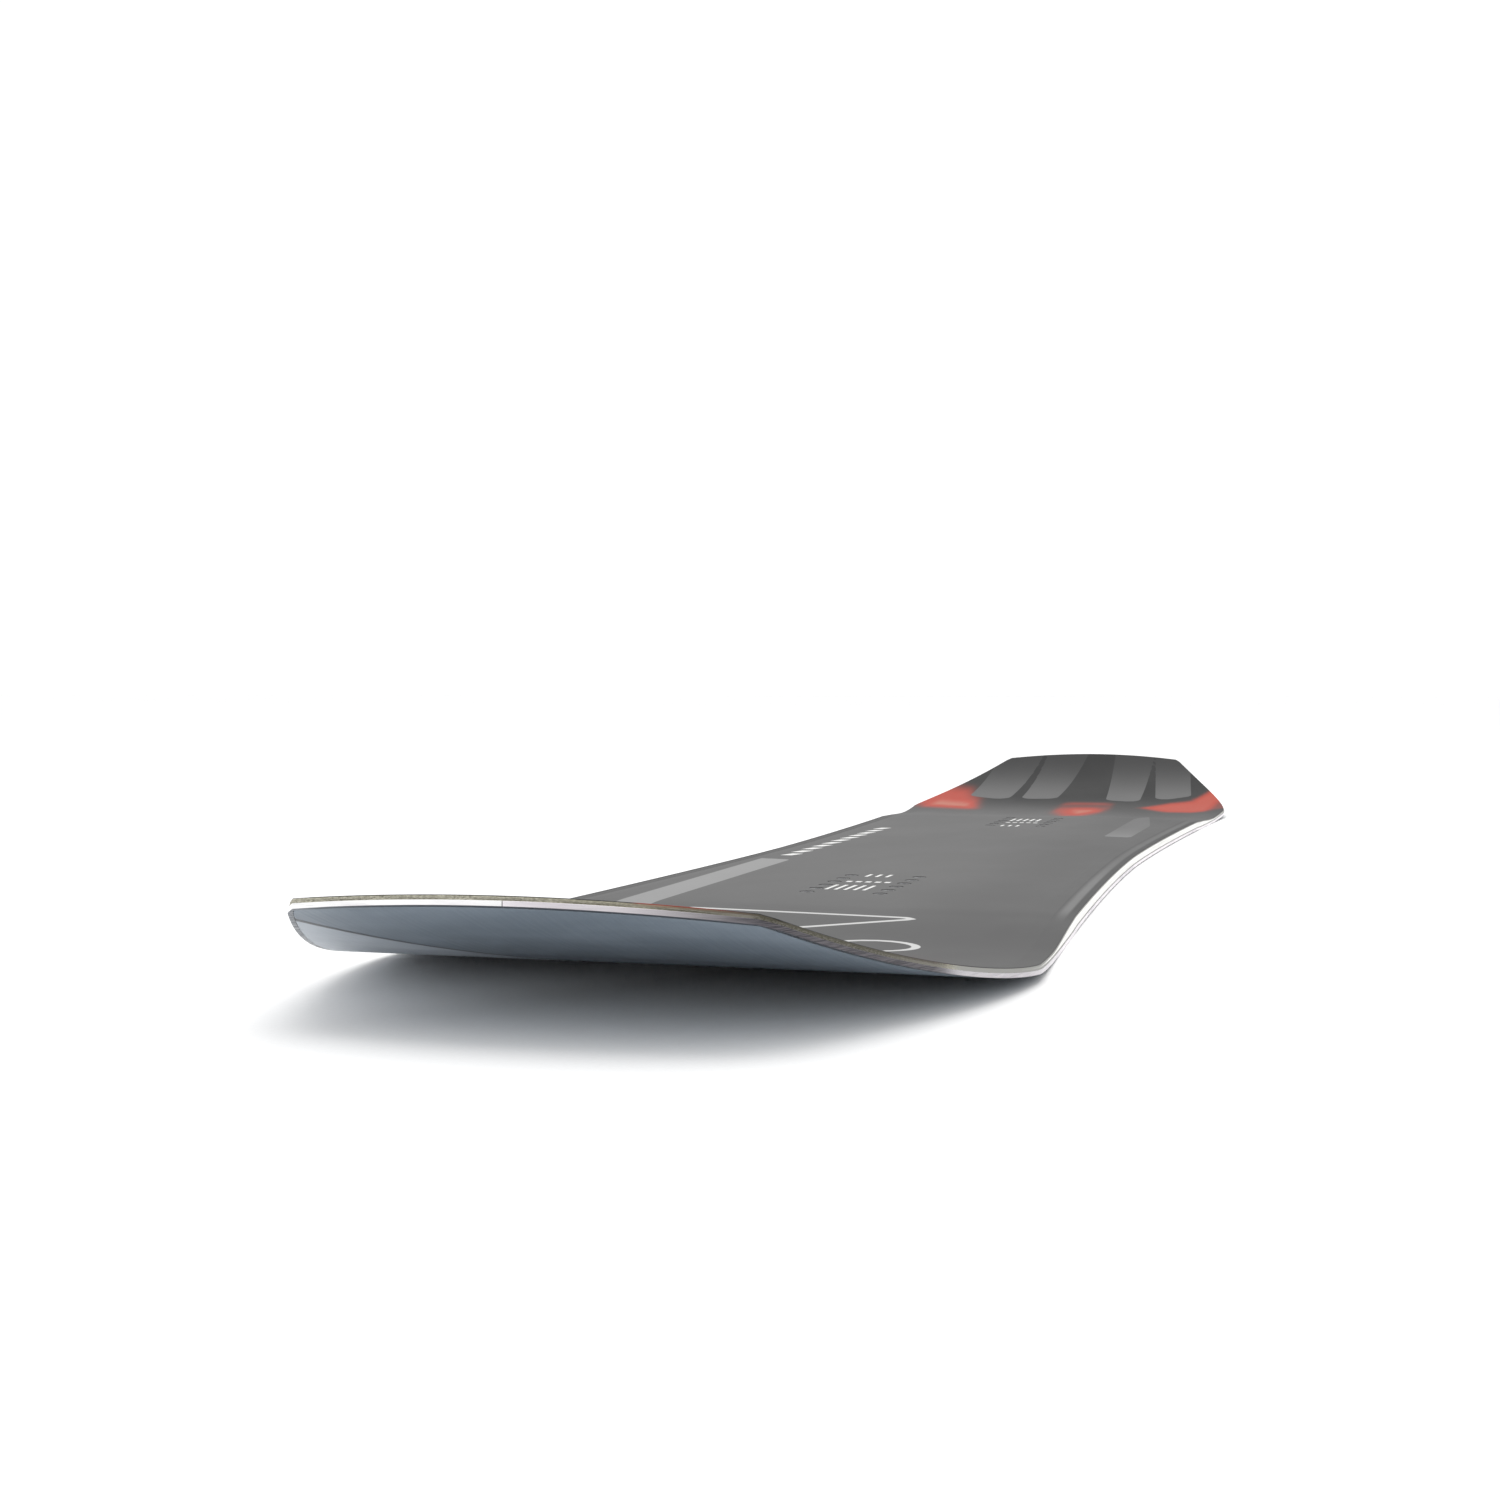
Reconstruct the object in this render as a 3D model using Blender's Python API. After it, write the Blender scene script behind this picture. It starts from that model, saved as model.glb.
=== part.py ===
"""Directional freeride snowboard, built as the laminated stack of layers that a real board is.

Metres, +Z up. The origin is under the board's middle, on the snow. The nose points to -Y, the tail
to +Y, and +X is the rider's right when looking at the tail. The layers run from the base up: running
base, steel edges, lower laminate, wood core with its sidewalls and tip fillers, upper laminate and
topsheet. The binding inserts stand in the core and open through the topsheet.
"""

import math

import bmesh
import bpy

MM = 0.001

# Outline in plan, the same at nose and tail
LENGTH = 1480 * MM           # from corner to corner, without the bow of the two ends
END_BOW = 12.5 * MM          # how far the blunt ends bow out between their corners
END_HALF = 85 * MM           # half the width of the blunt end
WIDEST_HALF = 143 * MM       # half the width where the tips are widest
WAIST_HALF = 122 * MM        # half the width at the waist
TIP_RUN = 196 * MM           # from the corner line to the widest place
TIP_FULLNESS = 1.66          # power of the tip's curve: higher is fuller
SIDECUT_POWER = 1.58         # power of the side's curve from the waist to the widest place
CORNER_EASE = 3 * MM         # how much the corner's rounding takes off
CORNER_RUN = 7 * MM          # how far the rounding reaches along the side

# Side profile
TIP_RISE = 42.1 * MM         # height of the corner line over the snow
KICK_START = 410 * MM        # where the tips begin to rise, from the middle
KICK_POWER = 2.87            # power of the rise
CONTACT_BAND = 20 * MM       # flat stretch that touches the snow, just inside the kick
CAMBER = 0.5 * MM            # height of the base over the snow between the contact bands
CAMBER_RUN = 15 * MM         # how long the base takes to come down to the contact band

# Thickness of the whole stack
MIDDLE_THICKNESS = 8.0 * MM
TIP_THICKNESS = 3.9 * MM
TAPER_START = 372 * MM       # from the middle
TAPER_END = 490 * MM

# The layers
BOND = 0.15 * MM             # resin gap that parts two neighbours
BASE_SHEET = 1.1 * MM
LAMINATE = 0.3 * MM
TOPSHEET = 0.35 * MM

# Steel edge: a bar along the rim with a thin flange under the laminate
EDGE_BAR = 2.0 * MM
EDGE_REACH = 6.8 * MM        # from the rim to the flange's inner end
EDGE_FLANGE = 0.35 * MM
FOIL = 0.15 * MM             # rubber damping strip on the flange
STEP_RUN = 2.2 * MM          # over which the laminate comes down inside the flange

# Rim of the deck: two shallow bevels down to the sidewall
RIM_INNER = 17 * MM
RIM_MIDDLE = 11 * MM
RIM_MIDDLE_DROP = 0.45 * MM
RIM_OUTER_DROP = 1.15 * MM
LAMINATE_INSET = 0.3 * MM    # lower laminate and the foot of the sidewall, from the rim
DECK_INSET = 1.0 * MM        # topsheet and the head of the sidewall, from the rim

# Core and tip fillers
TIP_JOINT = 165 * MM         # from the corner line to where core and tip filler meet
STRINGER_SIDES = (10 * MM, 30 * MM, 53 * MM, 76 * MM, 99 * MM)

# Binding inserts, on the usual grid
INSERT_COLUMN = 40 * MM      # across, from one row to the other
INSERT_PITCH = 20 * MM       # along, from hole to hole
INSERTS_PER_ROW = 6
NOSE_PACK = -250 * MM        # middle of the pack on the nose's side
TAIL_PACK = 309 * MM         # middle of the pack on the tail's side
INSERT_BARREL = 4.0 * MM     # radius
INSERT_FOOT = 8.0 * MM       # radius of the round foot
INSERT_FOOT_HEIGHT = 1.0 * MM
INSERT_BORE = 2.5 * MM       # radius of the hole that takes the M6 thread
INSERT_FLOOR = 1.2 * MM      # closed floor under the bore
INSERT_SINK = 0.3 * MM       # how far its mouth lies under the deck
INSERT_SIDES = 8
INSERT_PLAY = 0.3 * MM       # around the barrel, the foot and over the foot

# Seam between the running base and its nose panel, a straight line in plan
SEAM_ALONG = 16 * MM         # from the nose's corner line to where it starts on the left
SEAM_INSET = 2.4 * MM        # from the left rim to that point
SEAM_TURN = 60               # degrees, from +X towards the tail

# Stations along one half of the board, from the corner line
NEAR_ROWS = (5 * MM,)
BOW_FADE = 66 * MM           # by where the stations no longer bow with the end
FIRST_ROW = 26 * MM          # first station inside the rings of the rim
TIP_STEPS = 5                # from the first station to the filler's joint
KICK_STEPS = 4               # from there to where the tip begins to rise
TAPER_STEPS = 1              # from the contact band to where the taper starts
WAIST_STEPS = 3              # from there to the middle
CROSS_FRACTIONS = (-0.5, 0.0, 0.5)
SLOPE_STEP = 0.5 * MM        # over which the slope of the outline is measured
CUT_OVERRUN = 2 * MM         # how far a cutter reaches out of what it cuts


def spread(start, end, steps):
    """Even steps after start, up to and with end."""
    return [start + (end - start) * step / steps for step in range(1, steps + 1)]


def common_rows():
    """Stations that all layers share: those of the tip, and those from there to the middle."""
    kick = LENGTH / 2 - KICK_START
    band = kick + CONTACT_BAND
    level = LENGTH / 2 - TAPER_START
    tip = [FIRST_ROW] + spread(FIRST_ROW, TIP_JOINT, TIP_STEPS) + spread(TIP_JOINT, kick, KICK_STEPS)
    tip += [band] + spread(band, level, TAPER_STEPS)
    return tuple(tip), tuple(spread(level, LENGTH / 2, WAIST_STEPS))


TIP_ROWS, MIDDLE_ROWS = common_rows()


def ease(part):
    """Smooth step from 0 to 1."""
    part = min(max(part, 0.0), 1.0)
    return part * part * (3 - 2 * part)


def ramp(value, start, end):
    """Straight ramp from 0 at start to 1 at end."""
    return min(max((value - start) / (end - start), 0.0), 1.0)


def plan_half_width(along):
    """Half the board's width at a distance from the corner line, with sharp corners."""
    if along < TIP_RUN:
        part = 1 - max(along, 0.0) / TIP_RUN
        return END_HALF + (WIDEST_HALF - END_HALF) * (1 - part ** TIP_FULLNESS)
    part = abs(LENGTH / 2 - along) / (LENGTH / 2 - TIP_RUN)
    return WAIST_HALF + (WIDEST_HALF - WAIST_HALF) * part ** SIDECUT_POWER


def rim_x(along, inset):
    """Half the width of the outline moved inwards by an inset, square to the rim."""
    slope = (plan_half_width(along + SLOPE_STEP) - plan_half_width(along)) / SLOPE_STEP
    rounding = CORNER_EASE * (1 - ramp(along, 0.0, CORNER_RUN)) ** 2
    rounding *= 1 - ramp(inset, 0.0, CORNER_RUN)
    return plan_half_width(along) - rounding - inset * math.sqrt(1 + slope ** 2)


def row_y(end, along, across):
    """Y of a point on the row at a distance from the corner line; end is -1 nose, 1 tail."""
    bow = END_BOW * max(0.0, 1 - (across / END_HALF) ** 2)
    fade = 1 - ramp(along, RIM_INNER, BOW_FADE)
    return end * (LENGTH / 2 - along + bow * fade)


def base_z(y):
    """Height of the running surface over the snow."""
    reach = abs(y)
    kick_run = LENGTH / 2 - KICK_START
    rise = TIP_RISE * (max(0.0, reach - KICK_START) / kick_run) ** KICK_POWER
    band_start = KICK_START - CONTACT_BAND
    camber = CAMBER * (1 - ease((reach - band_start + CAMBER_RUN) / CAMBER_RUN))
    return rise + camber


def rim_lift(inset):
    """How much the lower laminate is raised over the flange of the steel edge."""
    lift = edge_height() - BASE_SHEET
    return lift * (1 - ramp(inset, EDGE_REACH, EDGE_REACH + STEP_RUN))


def edge_height():
    """Height of the steel bar, level with the foil on its flange."""
    return BASE_SHEET + BOND + EDGE_FLANGE + BOND + FOIL


def deck_level(y, inset):
    """Height of the deck over the running surface."""
    reach = abs(y)
    taper = 1 - ease(ramp(reach, TAPER_START, TAPER_END))
    thickness = TIP_THICKNESS + (MIDDLE_THICKNESS - TIP_THICKNESS) * taper
    if inset < RIM_MIDDLE:
        drop = RIM_OUTER_DROP + (RIM_MIDDLE_DROP - RIM_OUTER_DROP) * inset / RIM_MIDDLE
    else:
        drop = RIM_MIDDLE_DROP * (1 - ramp(inset, RIM_MIDDLE, RIM_INNER))
    return thickness - drop * taper


def running_face(y, inset):
    """The running surface itself, from which the other levels are measured."""
    return 0.0


def base_roof(y, inset):
    """Top of the running base."""
    return BASE_SHEET


def lower_laminate_floor(y, inset):
    """Underside of the lower laminate, one bond over the base or over the steel edge's flange."""
    return BASE_SHEET + BOND + rim_lift(inset)


def lower_laminate_roof(y, inset):
    """Top of the lower laminate."""
    return lower_laminate_floor(y, inset) + LAMINATE


def core_floor(y, inset):
    """Underside of the core, the sidewalls and the tip fillers."""
    return lower_laminate_roof(y, inset) + BOND


def topsheet_floor(y, inset):
    """Underside of the topsheet."""
    return deck_level(y, inset) - TOPSHEET


def upper_laminate_roof(y, inset):
    """Top of the upper laminate."""
    return topsheet_floor(y, inset) - BOND


def upper_laminate_floor(y, inset):
    """Underside of the upper laminate."""
    return upper_laminate_roof(y, inset) - LAMINATE


def core_roof(y, inset):
    """Top of the core, the sidewalls and the tip fillers."""
    return upper_laminate_floor(y, inset) - BOND


def material(name, colour, roughness, metallic=0.0):
    """Principled material of one colour, roughness and metallic value."""
    made = bpy.data.materials.new(name)
    made.use_nodes = True
    shader = made.node_tree.nodes["Principled BSDF"]
    shader.inputs["Base Color"].default_value = (*colour, 1.0)
    shader.inputs["Roughness"].default_value = roughness
    shader.inputs["Metallic"].default_value = metallic
    return made


def add_object(name, verts, faces, finish):
    """Mesh object from points and faces, with its faces turned outwards."""
    mesh = bpy.data.meshes.new(name)
    mesh.from_pydata(verts, [], faces)
    mesh.materials.append(finish)
    shape = bmesh.new()
    shape.from_mesh(mesh)
    bmesh.ops.recalc_face_normals(shape, faces=shape.faces)
    shape.to_mesh(mesh)
    shape.free()
    made = bpy.data.objects.new(name, mesh)
    bpy.context.collection.objects.link(made)
    return made


def grid_solid(name, low, high, finish):
    """Closed solid between two grids of points with the same rows and columns."""
    rows = len(low)
    columns = len(low[0])
    verts = [point for row in low for point in row] + [point for row in high for point in row]
    lift = rows * columns

    def at(row, column):
        return row * columns + column

    faces = []
    for row in range(rows - 1):
        for column in range(columns - 1):
            here, beside = at(row, column), at(row, column + 1)
            ahead, across = at(row + 1, column), at(row + 1, column + 1)
            if 2 * column < columns - 1:
                halves = ((here, beside, across), (here, across, ahead))
            else:
                halves = ((here, beside, ahead), (beside, across, ahead))
            for half in halves:
                faces.append(tuple(reversed(half)))
                faces.append(tuple(index + lift for index in half))
    border = [at(0, column) for column in range(columns)]
    border += [at(row, columns - 1) for row in range(1, rows)]
    border += [at(rows - 1, column) for column in range(columns - 2, -1, -1)]
    border += [at(row, 0) for row in range(rows - 2, 0, -1)]
    for here, there in zip(border, border[1:] + border[:1]):
        faces.append((here, there, there + lift, here + lift))
    return add_object(name, verts, faces, finish)


def tip_rows(rim, rings):
    """Stations of one tip: its rim, the rings inside it and the common rows."""
    rows = {rim, RIM_INNER, *NEAR_ROWS, *rings}
    return sorted(row for row in rows if row >= rim) + list(TIP_ROWS)


def full_stations(rim, rings):
    """Stations of the whole board as pairs of end and distance from that end's corner line."""
    half = tip_rows(rim, rings) + list(MIDDLE_ROWS[:-1])
    nose = [(-1, along) for along in half]
    tail = [(1, along) for along in reversed(half)]
    return nose + [(-1, MIDDLE_ROWS[-1])] + tail


def row_points(end, along, insets, level):
    """Points across one row: the rings of both rims and the inner columns."""
    inner = rim_x(along, insets[-1])
    left = [(-rim_x(along, inset), inset) for inset in insets]
    middle = [(fraction * inner, inner) for fraction in CROSS_FRACTIONS]
    right = [(rim_x(along, inset), inset) for inset in reversed(insets)]
    points = []
    for across, inset in left + middle + right:
        y = row_y(end, along, across)
        points.append((across, y, base_z(y) + level(y, min(inset, along))))
    return points


def sheet(name, rim, rings, floor, roof, finish, stations=None, roof_rim=None):
    """Layer over the board's outline moved inwards to its rim, between two levels."""
    stations = stations or full_stations(rim, rings)
    low_insets = [rim] + list(rings)
    high_insets = [roof_rim or rim] + list(rings)
    low = []
    high = []
    for end, along in stations:
        high_along = high_insets[0] if along == rim else along
        low.append(row_points(end, along, low_insets, floor))
        high.append(row_points(end, high_along, high_insets, roof))
    return grid_solid(name, low, high, finish)


def swept_solid(name, sections, finish):
    """Closed solid through a row of closed sections with the same number of points."""
    count = len(sections[0])
    verts = [point for section in sections for point in section]
    faces = [tuple(range(count)), tuple(range(len(verts) - 1, len(verts) - 1 - count, -1))]
    for start in range(0, len(verts) - count, count):
        for index in range(count):
            after = (index + 1) % count
            faces.append((start + index, start + count + index, start + count + after, start + after))
    return add_object(name, verts, faces, finish)


def core_stations():
    """Stations from joint to joint, where the wood core and the sidewalls run."""
    half = [TIP_JOINT + BOND / 2] + [row for row in TIP_ROWS if row > TIP_JOINT]
    half += list(MIDDLE_ROWS[:-1])
    nose = [(-1, along) for along in half]
    tail = [(1, along) for along in reversed(half)]
    return nose + [(-1, MIDDLE_ROWS[-1])] + tail


def lengthwise(name, outline, finish):
    """Bar along the core; outline gives the inset, X and level of each corner at a station."""
    sections = []
    for end, along in core_stations():
        y = end * (LENGTH / 2 - along)
        section = []
        for across, inset, level in outline(along):
            section.append((across, y, base_z(y) + level(y, inset)))
        sections.append(section)
    return swept_solid(name, sections, finish)


def inner_stringer(name, left, right, finish):
    """Straight strip of the wood core between two X values."""
    deep = WAIST_HALF

    def outline(along):
        return [(left, deep, core_floor), (right, deep, core_floor),
                (right, deep, core_roof), (left, deep, core_roof)]

    return lengthwise(name, outline, finish)


def outer_stringer(name, side, finish):
    """Outermost strip of the core, cut to the sidecut and to the bevels of the deck's rim."""
    inner = STRINGER_SIDES[-1] + BOND / 2
    wall = EDGE_REACH + BOND
    deep = WAIST_HALF

    def outline(along):
        step_end = EDGE_REACH + STEP_RUN
        corners = [(inner, deep, core_floor), (rim_x(along, step_end), step_end, core_floor),
                   (rim_x(along, wall), wall, core_floor), (rim_x(along, wall), wall, core_roof),
                   (rim_x(along, RIM_MIDDLE), RIM_MIDDLE, core_roof),
                   (rim_x(along, RIM_INNER), RIM_INNER, core_roof), (inner, deep, core_roof)]
        return [(side * across, inset, level) for across, inset, level in corners]

    return lengthwise(name, outline, finish)


def sidewall(name, side, finish):
    """Plastic wall outside the core, its outer face leaning in towards the deck."""
    def outline(along):
        corners = [(rim_x(along, EDGE_REACH), EDGE_REACH, core_floor),
                   (rim_x(along, LAMINATE_INSET), LAMINATE_INSET, core_floor),
                   (rim_x(along, DECK_INSET), DECK_INSET, core_roof),
                   (rim_x(along, EDGE_REACH), EDGE_REACH, core_roof)]
        return [(side * across, inset, level) for across, inset, level in corners]

    return lengthwise(name, outline, finish)


def half_rim(corners):
    """Sections of a strip that runs round one half of the rim, from nose middle to tail middle.

    Each corner of the strip's section is an inset from the rim and a height over the base.
    """
    start = BOND
    end_parts = [0.0] + [part for part in CROSS_FRACTIONS if part > 0] + [1.0]
    squeeze = TIP_ROWS[0]
    rows = [0.0] + list(NEAR_ROWS) + [EDGE_REACH + STEP_RUN, RIM_INNER] + list(TIP_ROWS)
    rows += list(MIDDLE_ROWS[:-1])
    stations = [(-1, part, None) for part in end_parts]
    stations += [(-1, None, along) for along in rows]
    stations += [(-1, None, MIDDLE_ROWS[-1])]
    stations += [(1, None, along) for along in reversed(rows)]
    stations += [(1, part, None) for part in reversed(end_parts)]
    sections = []
    for end, part, along in stations:
        section = []
        for inset, height in corners:
            if along is None:
                across = max(start, part * rim_x(inset, RIM_INNER))
                y = row_y(end, inset, across)
            else:
                row = along
                if along < squeeze:
                    row = inset + (squeeze - inset) * along / squeeze
                across = rim_x(row, inset)
                y = row_y(end, row, across)
            section.append((across, y, base_z(y) + height))
        sections.append(section)
    return sections


def mirrored(sections, side):
    """The same sections on the other side of the board."""
    return [[(side * x, y, z) for x, y, z in section] for section in sections]


def edge_corners():
    """Section of the steel edge: bar and flange in one piece."""
    flange = BASE_SHEET + BOND
    return [(0.0, 0.0), (EDGE_BAR, 0.0), (EDGE_BAR, flange), (EDGE_REACH, flange),
            (EDGE_REACH, flange + EDGE_FLANGE), (EDGE_BAR, flange + EDGE_FLANGE),
            (EDGE_BAR, edge_height()), (0.0, edge_height())]


def foil_corners():
    """Section of the damping strip that lies on the flange."""
    floor = edge_height() - FOIL
    inner = EDGE_REACH
    outer = EDGE_BAR + BOND
    return [(outer, floor), (inner, floor), (inner, floor + FOIL), (outer, floor + FOIL)]


def insert_places():
    """Name and centre of each binding insert."""
    places = []
    for pack, centre in (("nose", NOSE_PACK), ("tail", TAIL_PACK)):
        for side, across in (("left", -INSERT_COLUMN / 2), ("right", INSERT_COLUMN / 2)):
            for index in range(INSERTS_PER_ROW):
                y = centre + (index - (INSERTS_PER_ROW - 1) / 2) * INSERT_PITCH
                places.append((f"insert_{pack}_{side}_{index + 1}", across, y))
    return places


def turned_shape(profile, centre=(0.0, 0.0), shape=None):
    """Solid of revolution with flat sides, added to a bmesh; profile runs from axis to axis."""
    shape = shape or bmesh.new()
    rings = []
    for radius, z in profile:
        if radius == 0.0:
            rings.append([shape.verts.new((centre[0], centre[1], z))])
            continue
        ring = []
        for index in range(INSERT_SIDES):
            angle = 2 * math.pi * (index + 0.5) / INSERT_SIDES
            ring.append(shape.verts.new((centre[0] + radius * math.cos(angle),
                                         centre[1] + radius * math.sin(angle), z)))
        rings.append(ring)
    for below, above in zip(rings, rings[1:]):
        for index in range(INSERT_SIDES):
            after = (index + 1) % INSERT_SIDES
            corners = [below[index % len(below)], below[after % len(below)],
                       above[after % len(above)], above[index % len(above)]]
            shape.faces.new(list(dict.fromkeys(corners)))
    return shape


def mesh_from(shape, name, finish=None):
    """Mesh from a bmesh, with its faces turned outwards."""
    bmesh.ops.recalc_face_normals(shape, faces=shape.faces)
    mesh = bpy.data.meshes.new(name)
    shape.to_mesh(mesh)
    shape.free()
    if finish:
        mesh.materials.append(finish)
    return mesh


def insert_seat_z():
    """Height of the insert's foot over the snow."""
    return CAMBER + core_floor(0.0, WAIST_HALF)


def insert_mesh(finish):
    """Threaded insert: round foot, barrel and blind bore, standing on Z = 0."""
    top = MIDDLE_THICKNESS - INSERT_SINK - core_floor(0.0, WAIST_HALF)
    profile = [(0.0, 0.0), (INSERT_FOOT, 0.0), (INSERT_FOOT, INSERT_FOOT_HEIGHT),
               (INSERT_BARREL, INSERT_FOOT_HEIGHT), (INSERT_BARREL, top), (INSERT_BORE, top),
               (INSERT_BORE, INSERT_FLOOR), (0.0, INSERT_FLOOR)]
    return mesh_from(turned_shape(profile), "insert", finish)


def insert_cutter():
    """One cutter with the stepped seat of every insert, open below the core and above the deck."""
    shape = bmesh.new()
    foot_radius = INSERT_FOOT + INSERT_PLAY
    barrel_radius = INSERT_BARREL + INSERT_PLAY
    floor = insert_seat_z() - BOND / 2
    shoulder = insert_seat_z() + INSERT_FOOT_HEIGHT + INSERT_PLAY
    top = CAMBER + MIDDLE_THICKNESS + CUT_OVERRUN
    for _, across, y in insert_places():
        profile = [(0.0, floor), (foot_radius, floor), (foot_radius, shoulder),
                   (barrel_radius, shoulder), (barrel_radius, top), (0.0, top)]
        turned_shape(profile, (across, y), shape)
    cutter = bpy.data.objects.new("insert_seats", mesh_from(shape, "insert_seats"))
    bpy.context.collection.objects.link(cutter)
    cutter.hide_render = True
    cutter.display_type = "WIRE"
    return cutter


def cut(target, cutter):
    """Takes the cutter out of an object."""
    modifier = target.modifiers.new("insert seats", "BOOLEAN")
    modifier.operation = "DIFFERENCE"
    modifier.solver = "EXACT"
    modifier.object = cutter


def split_along_seam(made, keep, finish):
    """Keeps the part of a base sheet on one side of the seam; keep is 1 for the tail's side."""
    turn = math.radians(SEAM_TURN)
    normal = (-math.sin(turn), math.cos(turn), 0.0)
    start = (-rim_x(SEAM_ALONG, SEAM_INSET), SEAM_ALONG - LENGTH / 2)
    offset = keep * BOND / 2
    point = (start[0] + normal[0] * offset, start[1] + normal[1] * offset, 0.0)
    shape = bmesh.new()
    shape.from_mesh(made.data)
    everything = list(shape.verts) + list(shape.edges) + list(shape.faces)
    result = bmesh.ops.bisect_plane(shape, geom=everything, dist=1e-7, plane_co=point, plane_no=normal,
                                    clear_inner=keep > 0, clear_outer=keep < 0)
    rim = [item for item in result["geom_cut"] if isinstance(item, bmesh.types.BMEdge)]
    bmesh.ops.holes_fill(shape, edges=rim, sides=0)
    bmesh.ops.triangulate(shape, faces=shape.faces)
    bmesh.ops.recalc_face_normals(shape, faces=shape.faces)
    shape.to_mesh(made.data)
    shape.free()
    made.data.materials.clear()
    made.data.materials.append(finish)


def build():
    """Empties the scene and builds the board from the base up."""
    for old in list(bpy.data.objects):
        bpy.data.objects.remove(old, do_unlink=True)

    deck_finish = material("satin grey topsheet", (0.16, 0.16, 0.16), 0.45)
    glass = material("glass fibre laminate", (0.28, 0.26, 0.16), 0.6)
    base_pale = material("pale sintered base", (0.42, 0.45, 0.50), 0.4)
    base_dark = material("blue grey sintered base", (0.13, 0.16, 0.20), 0.4)
    wood = material("poplar core", (0.62, 0.45, 0.26), 0.7)
    bamboo = material("bamboo stringer", (0.50, 0.33, 0.15), 0.7)
    white_plastic = material("white ABS", (0.80, 0.80, 0.78), 0.5)
    filler = material("sanded tip filler", (0.30, 0.29, 0.18), 0.7)
    steel = material("edge steel", (0.60, 0.60, 0.62), 0.3, 1.0)
    rubber = material("damping rubber", (0.02, 0.02, 0.02), 0.8)
    insert_steel = material("stainless insert", (0.55, 0.55, 0.57), 0.35, 1.0)

    base_rim = EDGE_BAR + BOND
    for name, keep, finish in (("base_sheet", 1, base_pale), ("base_nose_panel", -1, base_dark)):
        made = sheet(name, base_rim, (RIM_INNER,), running_face, base_roof, finish)
        split_along_seam(made, keep, finish)

    step_rings = (EDGE_REACH, EDGE_REACH + STEP_RUN)
    sheet("lower_laminate", LAMINATE_INSET, step_rings, lower_laminate_floor, lower_laminate_roof, glass)

    bevel_rings = (RIM_MIDDLE, RIM_INNER)
    upper = sheet("upper_laminate", DECK_INSET, bevel_rings, upper_laminate_floor,
                  upper_laminate_roof, glass)
    topsheet = sheet("topsheet", DECK_INSET, bevel_rings, topsheet_floor, deck_level, deck_finish)

    for end, name in ((-1, "nose_filler"), (1, "tail_filler")):
        rows = [row for row in tip_rows(LAMINATE_INSET, step_rings) if row < TIP_JOINT]
        stations = [(end, along) for along in rows + [TIP_JOINT - BOND / 2]][::-end]
        sheet(name, LAMINATE_INSET, step_rings, core_floor, core_roof, filler, stations, DECK_INSET)

    for side, word in ((-1, "left"), (1, "right")):
        swept_solid(f"steel_edge_{word}", mirrored(half_rim(edge_corners()), side), steel)
        swept_solid(f"edge_foil_{word}", mirrored(half_rim(foil_corners()), side), rubber)
        sidewall(f"sidewall_{word}", side, white_plastic)
        outer_stringer(f"core_stringer_{word}_5", side, wood)

    cutter = insert_cutter()
    gap = BOND / 2
    first = STRINGER_SIDES[0]
    inner_stringer("core_stringer_middle", -first + gap, first - gap, wood)
    for side, word in ((-1, "left"), (1, "right")):
        pairs = zip(STRINGER_SIDES, STRINGER_SIDES[1:])
        for index, (near, far) in enumerate(pairs, start=1):
            finish = bamboo if index % 2 else wood
            strip = inner_stringer(f"core_stringer_{word}_{index}", side * (near + gap),
                                   side * (far - gap), finish)
            if near < INSERT_COLUMN / 2 < far:
                cut(strip, cutter)
    cut(upper, cutter)
    cut(topsheet, cutter)

    mesh = insert_mesh(insert_steel)
    for name, across, y in insert_places():
        made = bpy.data.objects.new(name, mesh)
        made.location = (across, y, insert_seat_z())
        bpy.context.collection.objects.link(made)


build()
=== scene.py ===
"""Looks of a directional freeride snowboard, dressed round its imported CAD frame.

Metres, +Z up, in the frame's own axes: the nose points to -Y, the tail to +Y, and the flat contact
bands of the base lie on Z = 0. Every layer that shows is modelled again from the frame's own laws of
outline and profile, with finer steps, and stands for its CAD node. The wood core and the rubber strips
stay as the frame has them and get a finish.
"""

from __future__ import annotations

import logging
import math
from collections.abc import Callable, Sequence
from dataclasses import dataclass, field
from enum import Enum

import bmesh
import bpy
import numpy as np
from mathutils import Matrix, Vector

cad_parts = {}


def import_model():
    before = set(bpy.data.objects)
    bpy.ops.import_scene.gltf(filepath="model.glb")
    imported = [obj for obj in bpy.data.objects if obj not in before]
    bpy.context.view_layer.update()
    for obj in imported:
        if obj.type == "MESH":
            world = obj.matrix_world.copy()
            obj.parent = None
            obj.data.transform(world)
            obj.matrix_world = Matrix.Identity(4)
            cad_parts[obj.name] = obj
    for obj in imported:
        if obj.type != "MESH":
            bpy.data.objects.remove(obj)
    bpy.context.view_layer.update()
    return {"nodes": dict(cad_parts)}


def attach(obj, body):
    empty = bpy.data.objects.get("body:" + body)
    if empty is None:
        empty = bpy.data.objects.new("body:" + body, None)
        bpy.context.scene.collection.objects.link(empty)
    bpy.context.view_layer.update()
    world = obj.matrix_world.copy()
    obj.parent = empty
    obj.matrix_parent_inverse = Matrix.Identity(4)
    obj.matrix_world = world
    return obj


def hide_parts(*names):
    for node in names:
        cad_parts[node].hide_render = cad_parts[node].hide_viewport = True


MM = 0.001
BODY = "root"
PHOTO_PIXELS = 1500

log = logging.getLogger("snowboard")

Point = tuple[float, float]
Level = Callable[[np.ndarray, np.ndarray], np.ndarray]
Socket = bpy.types.NodeSocket
Paint = Socket | str


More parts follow.
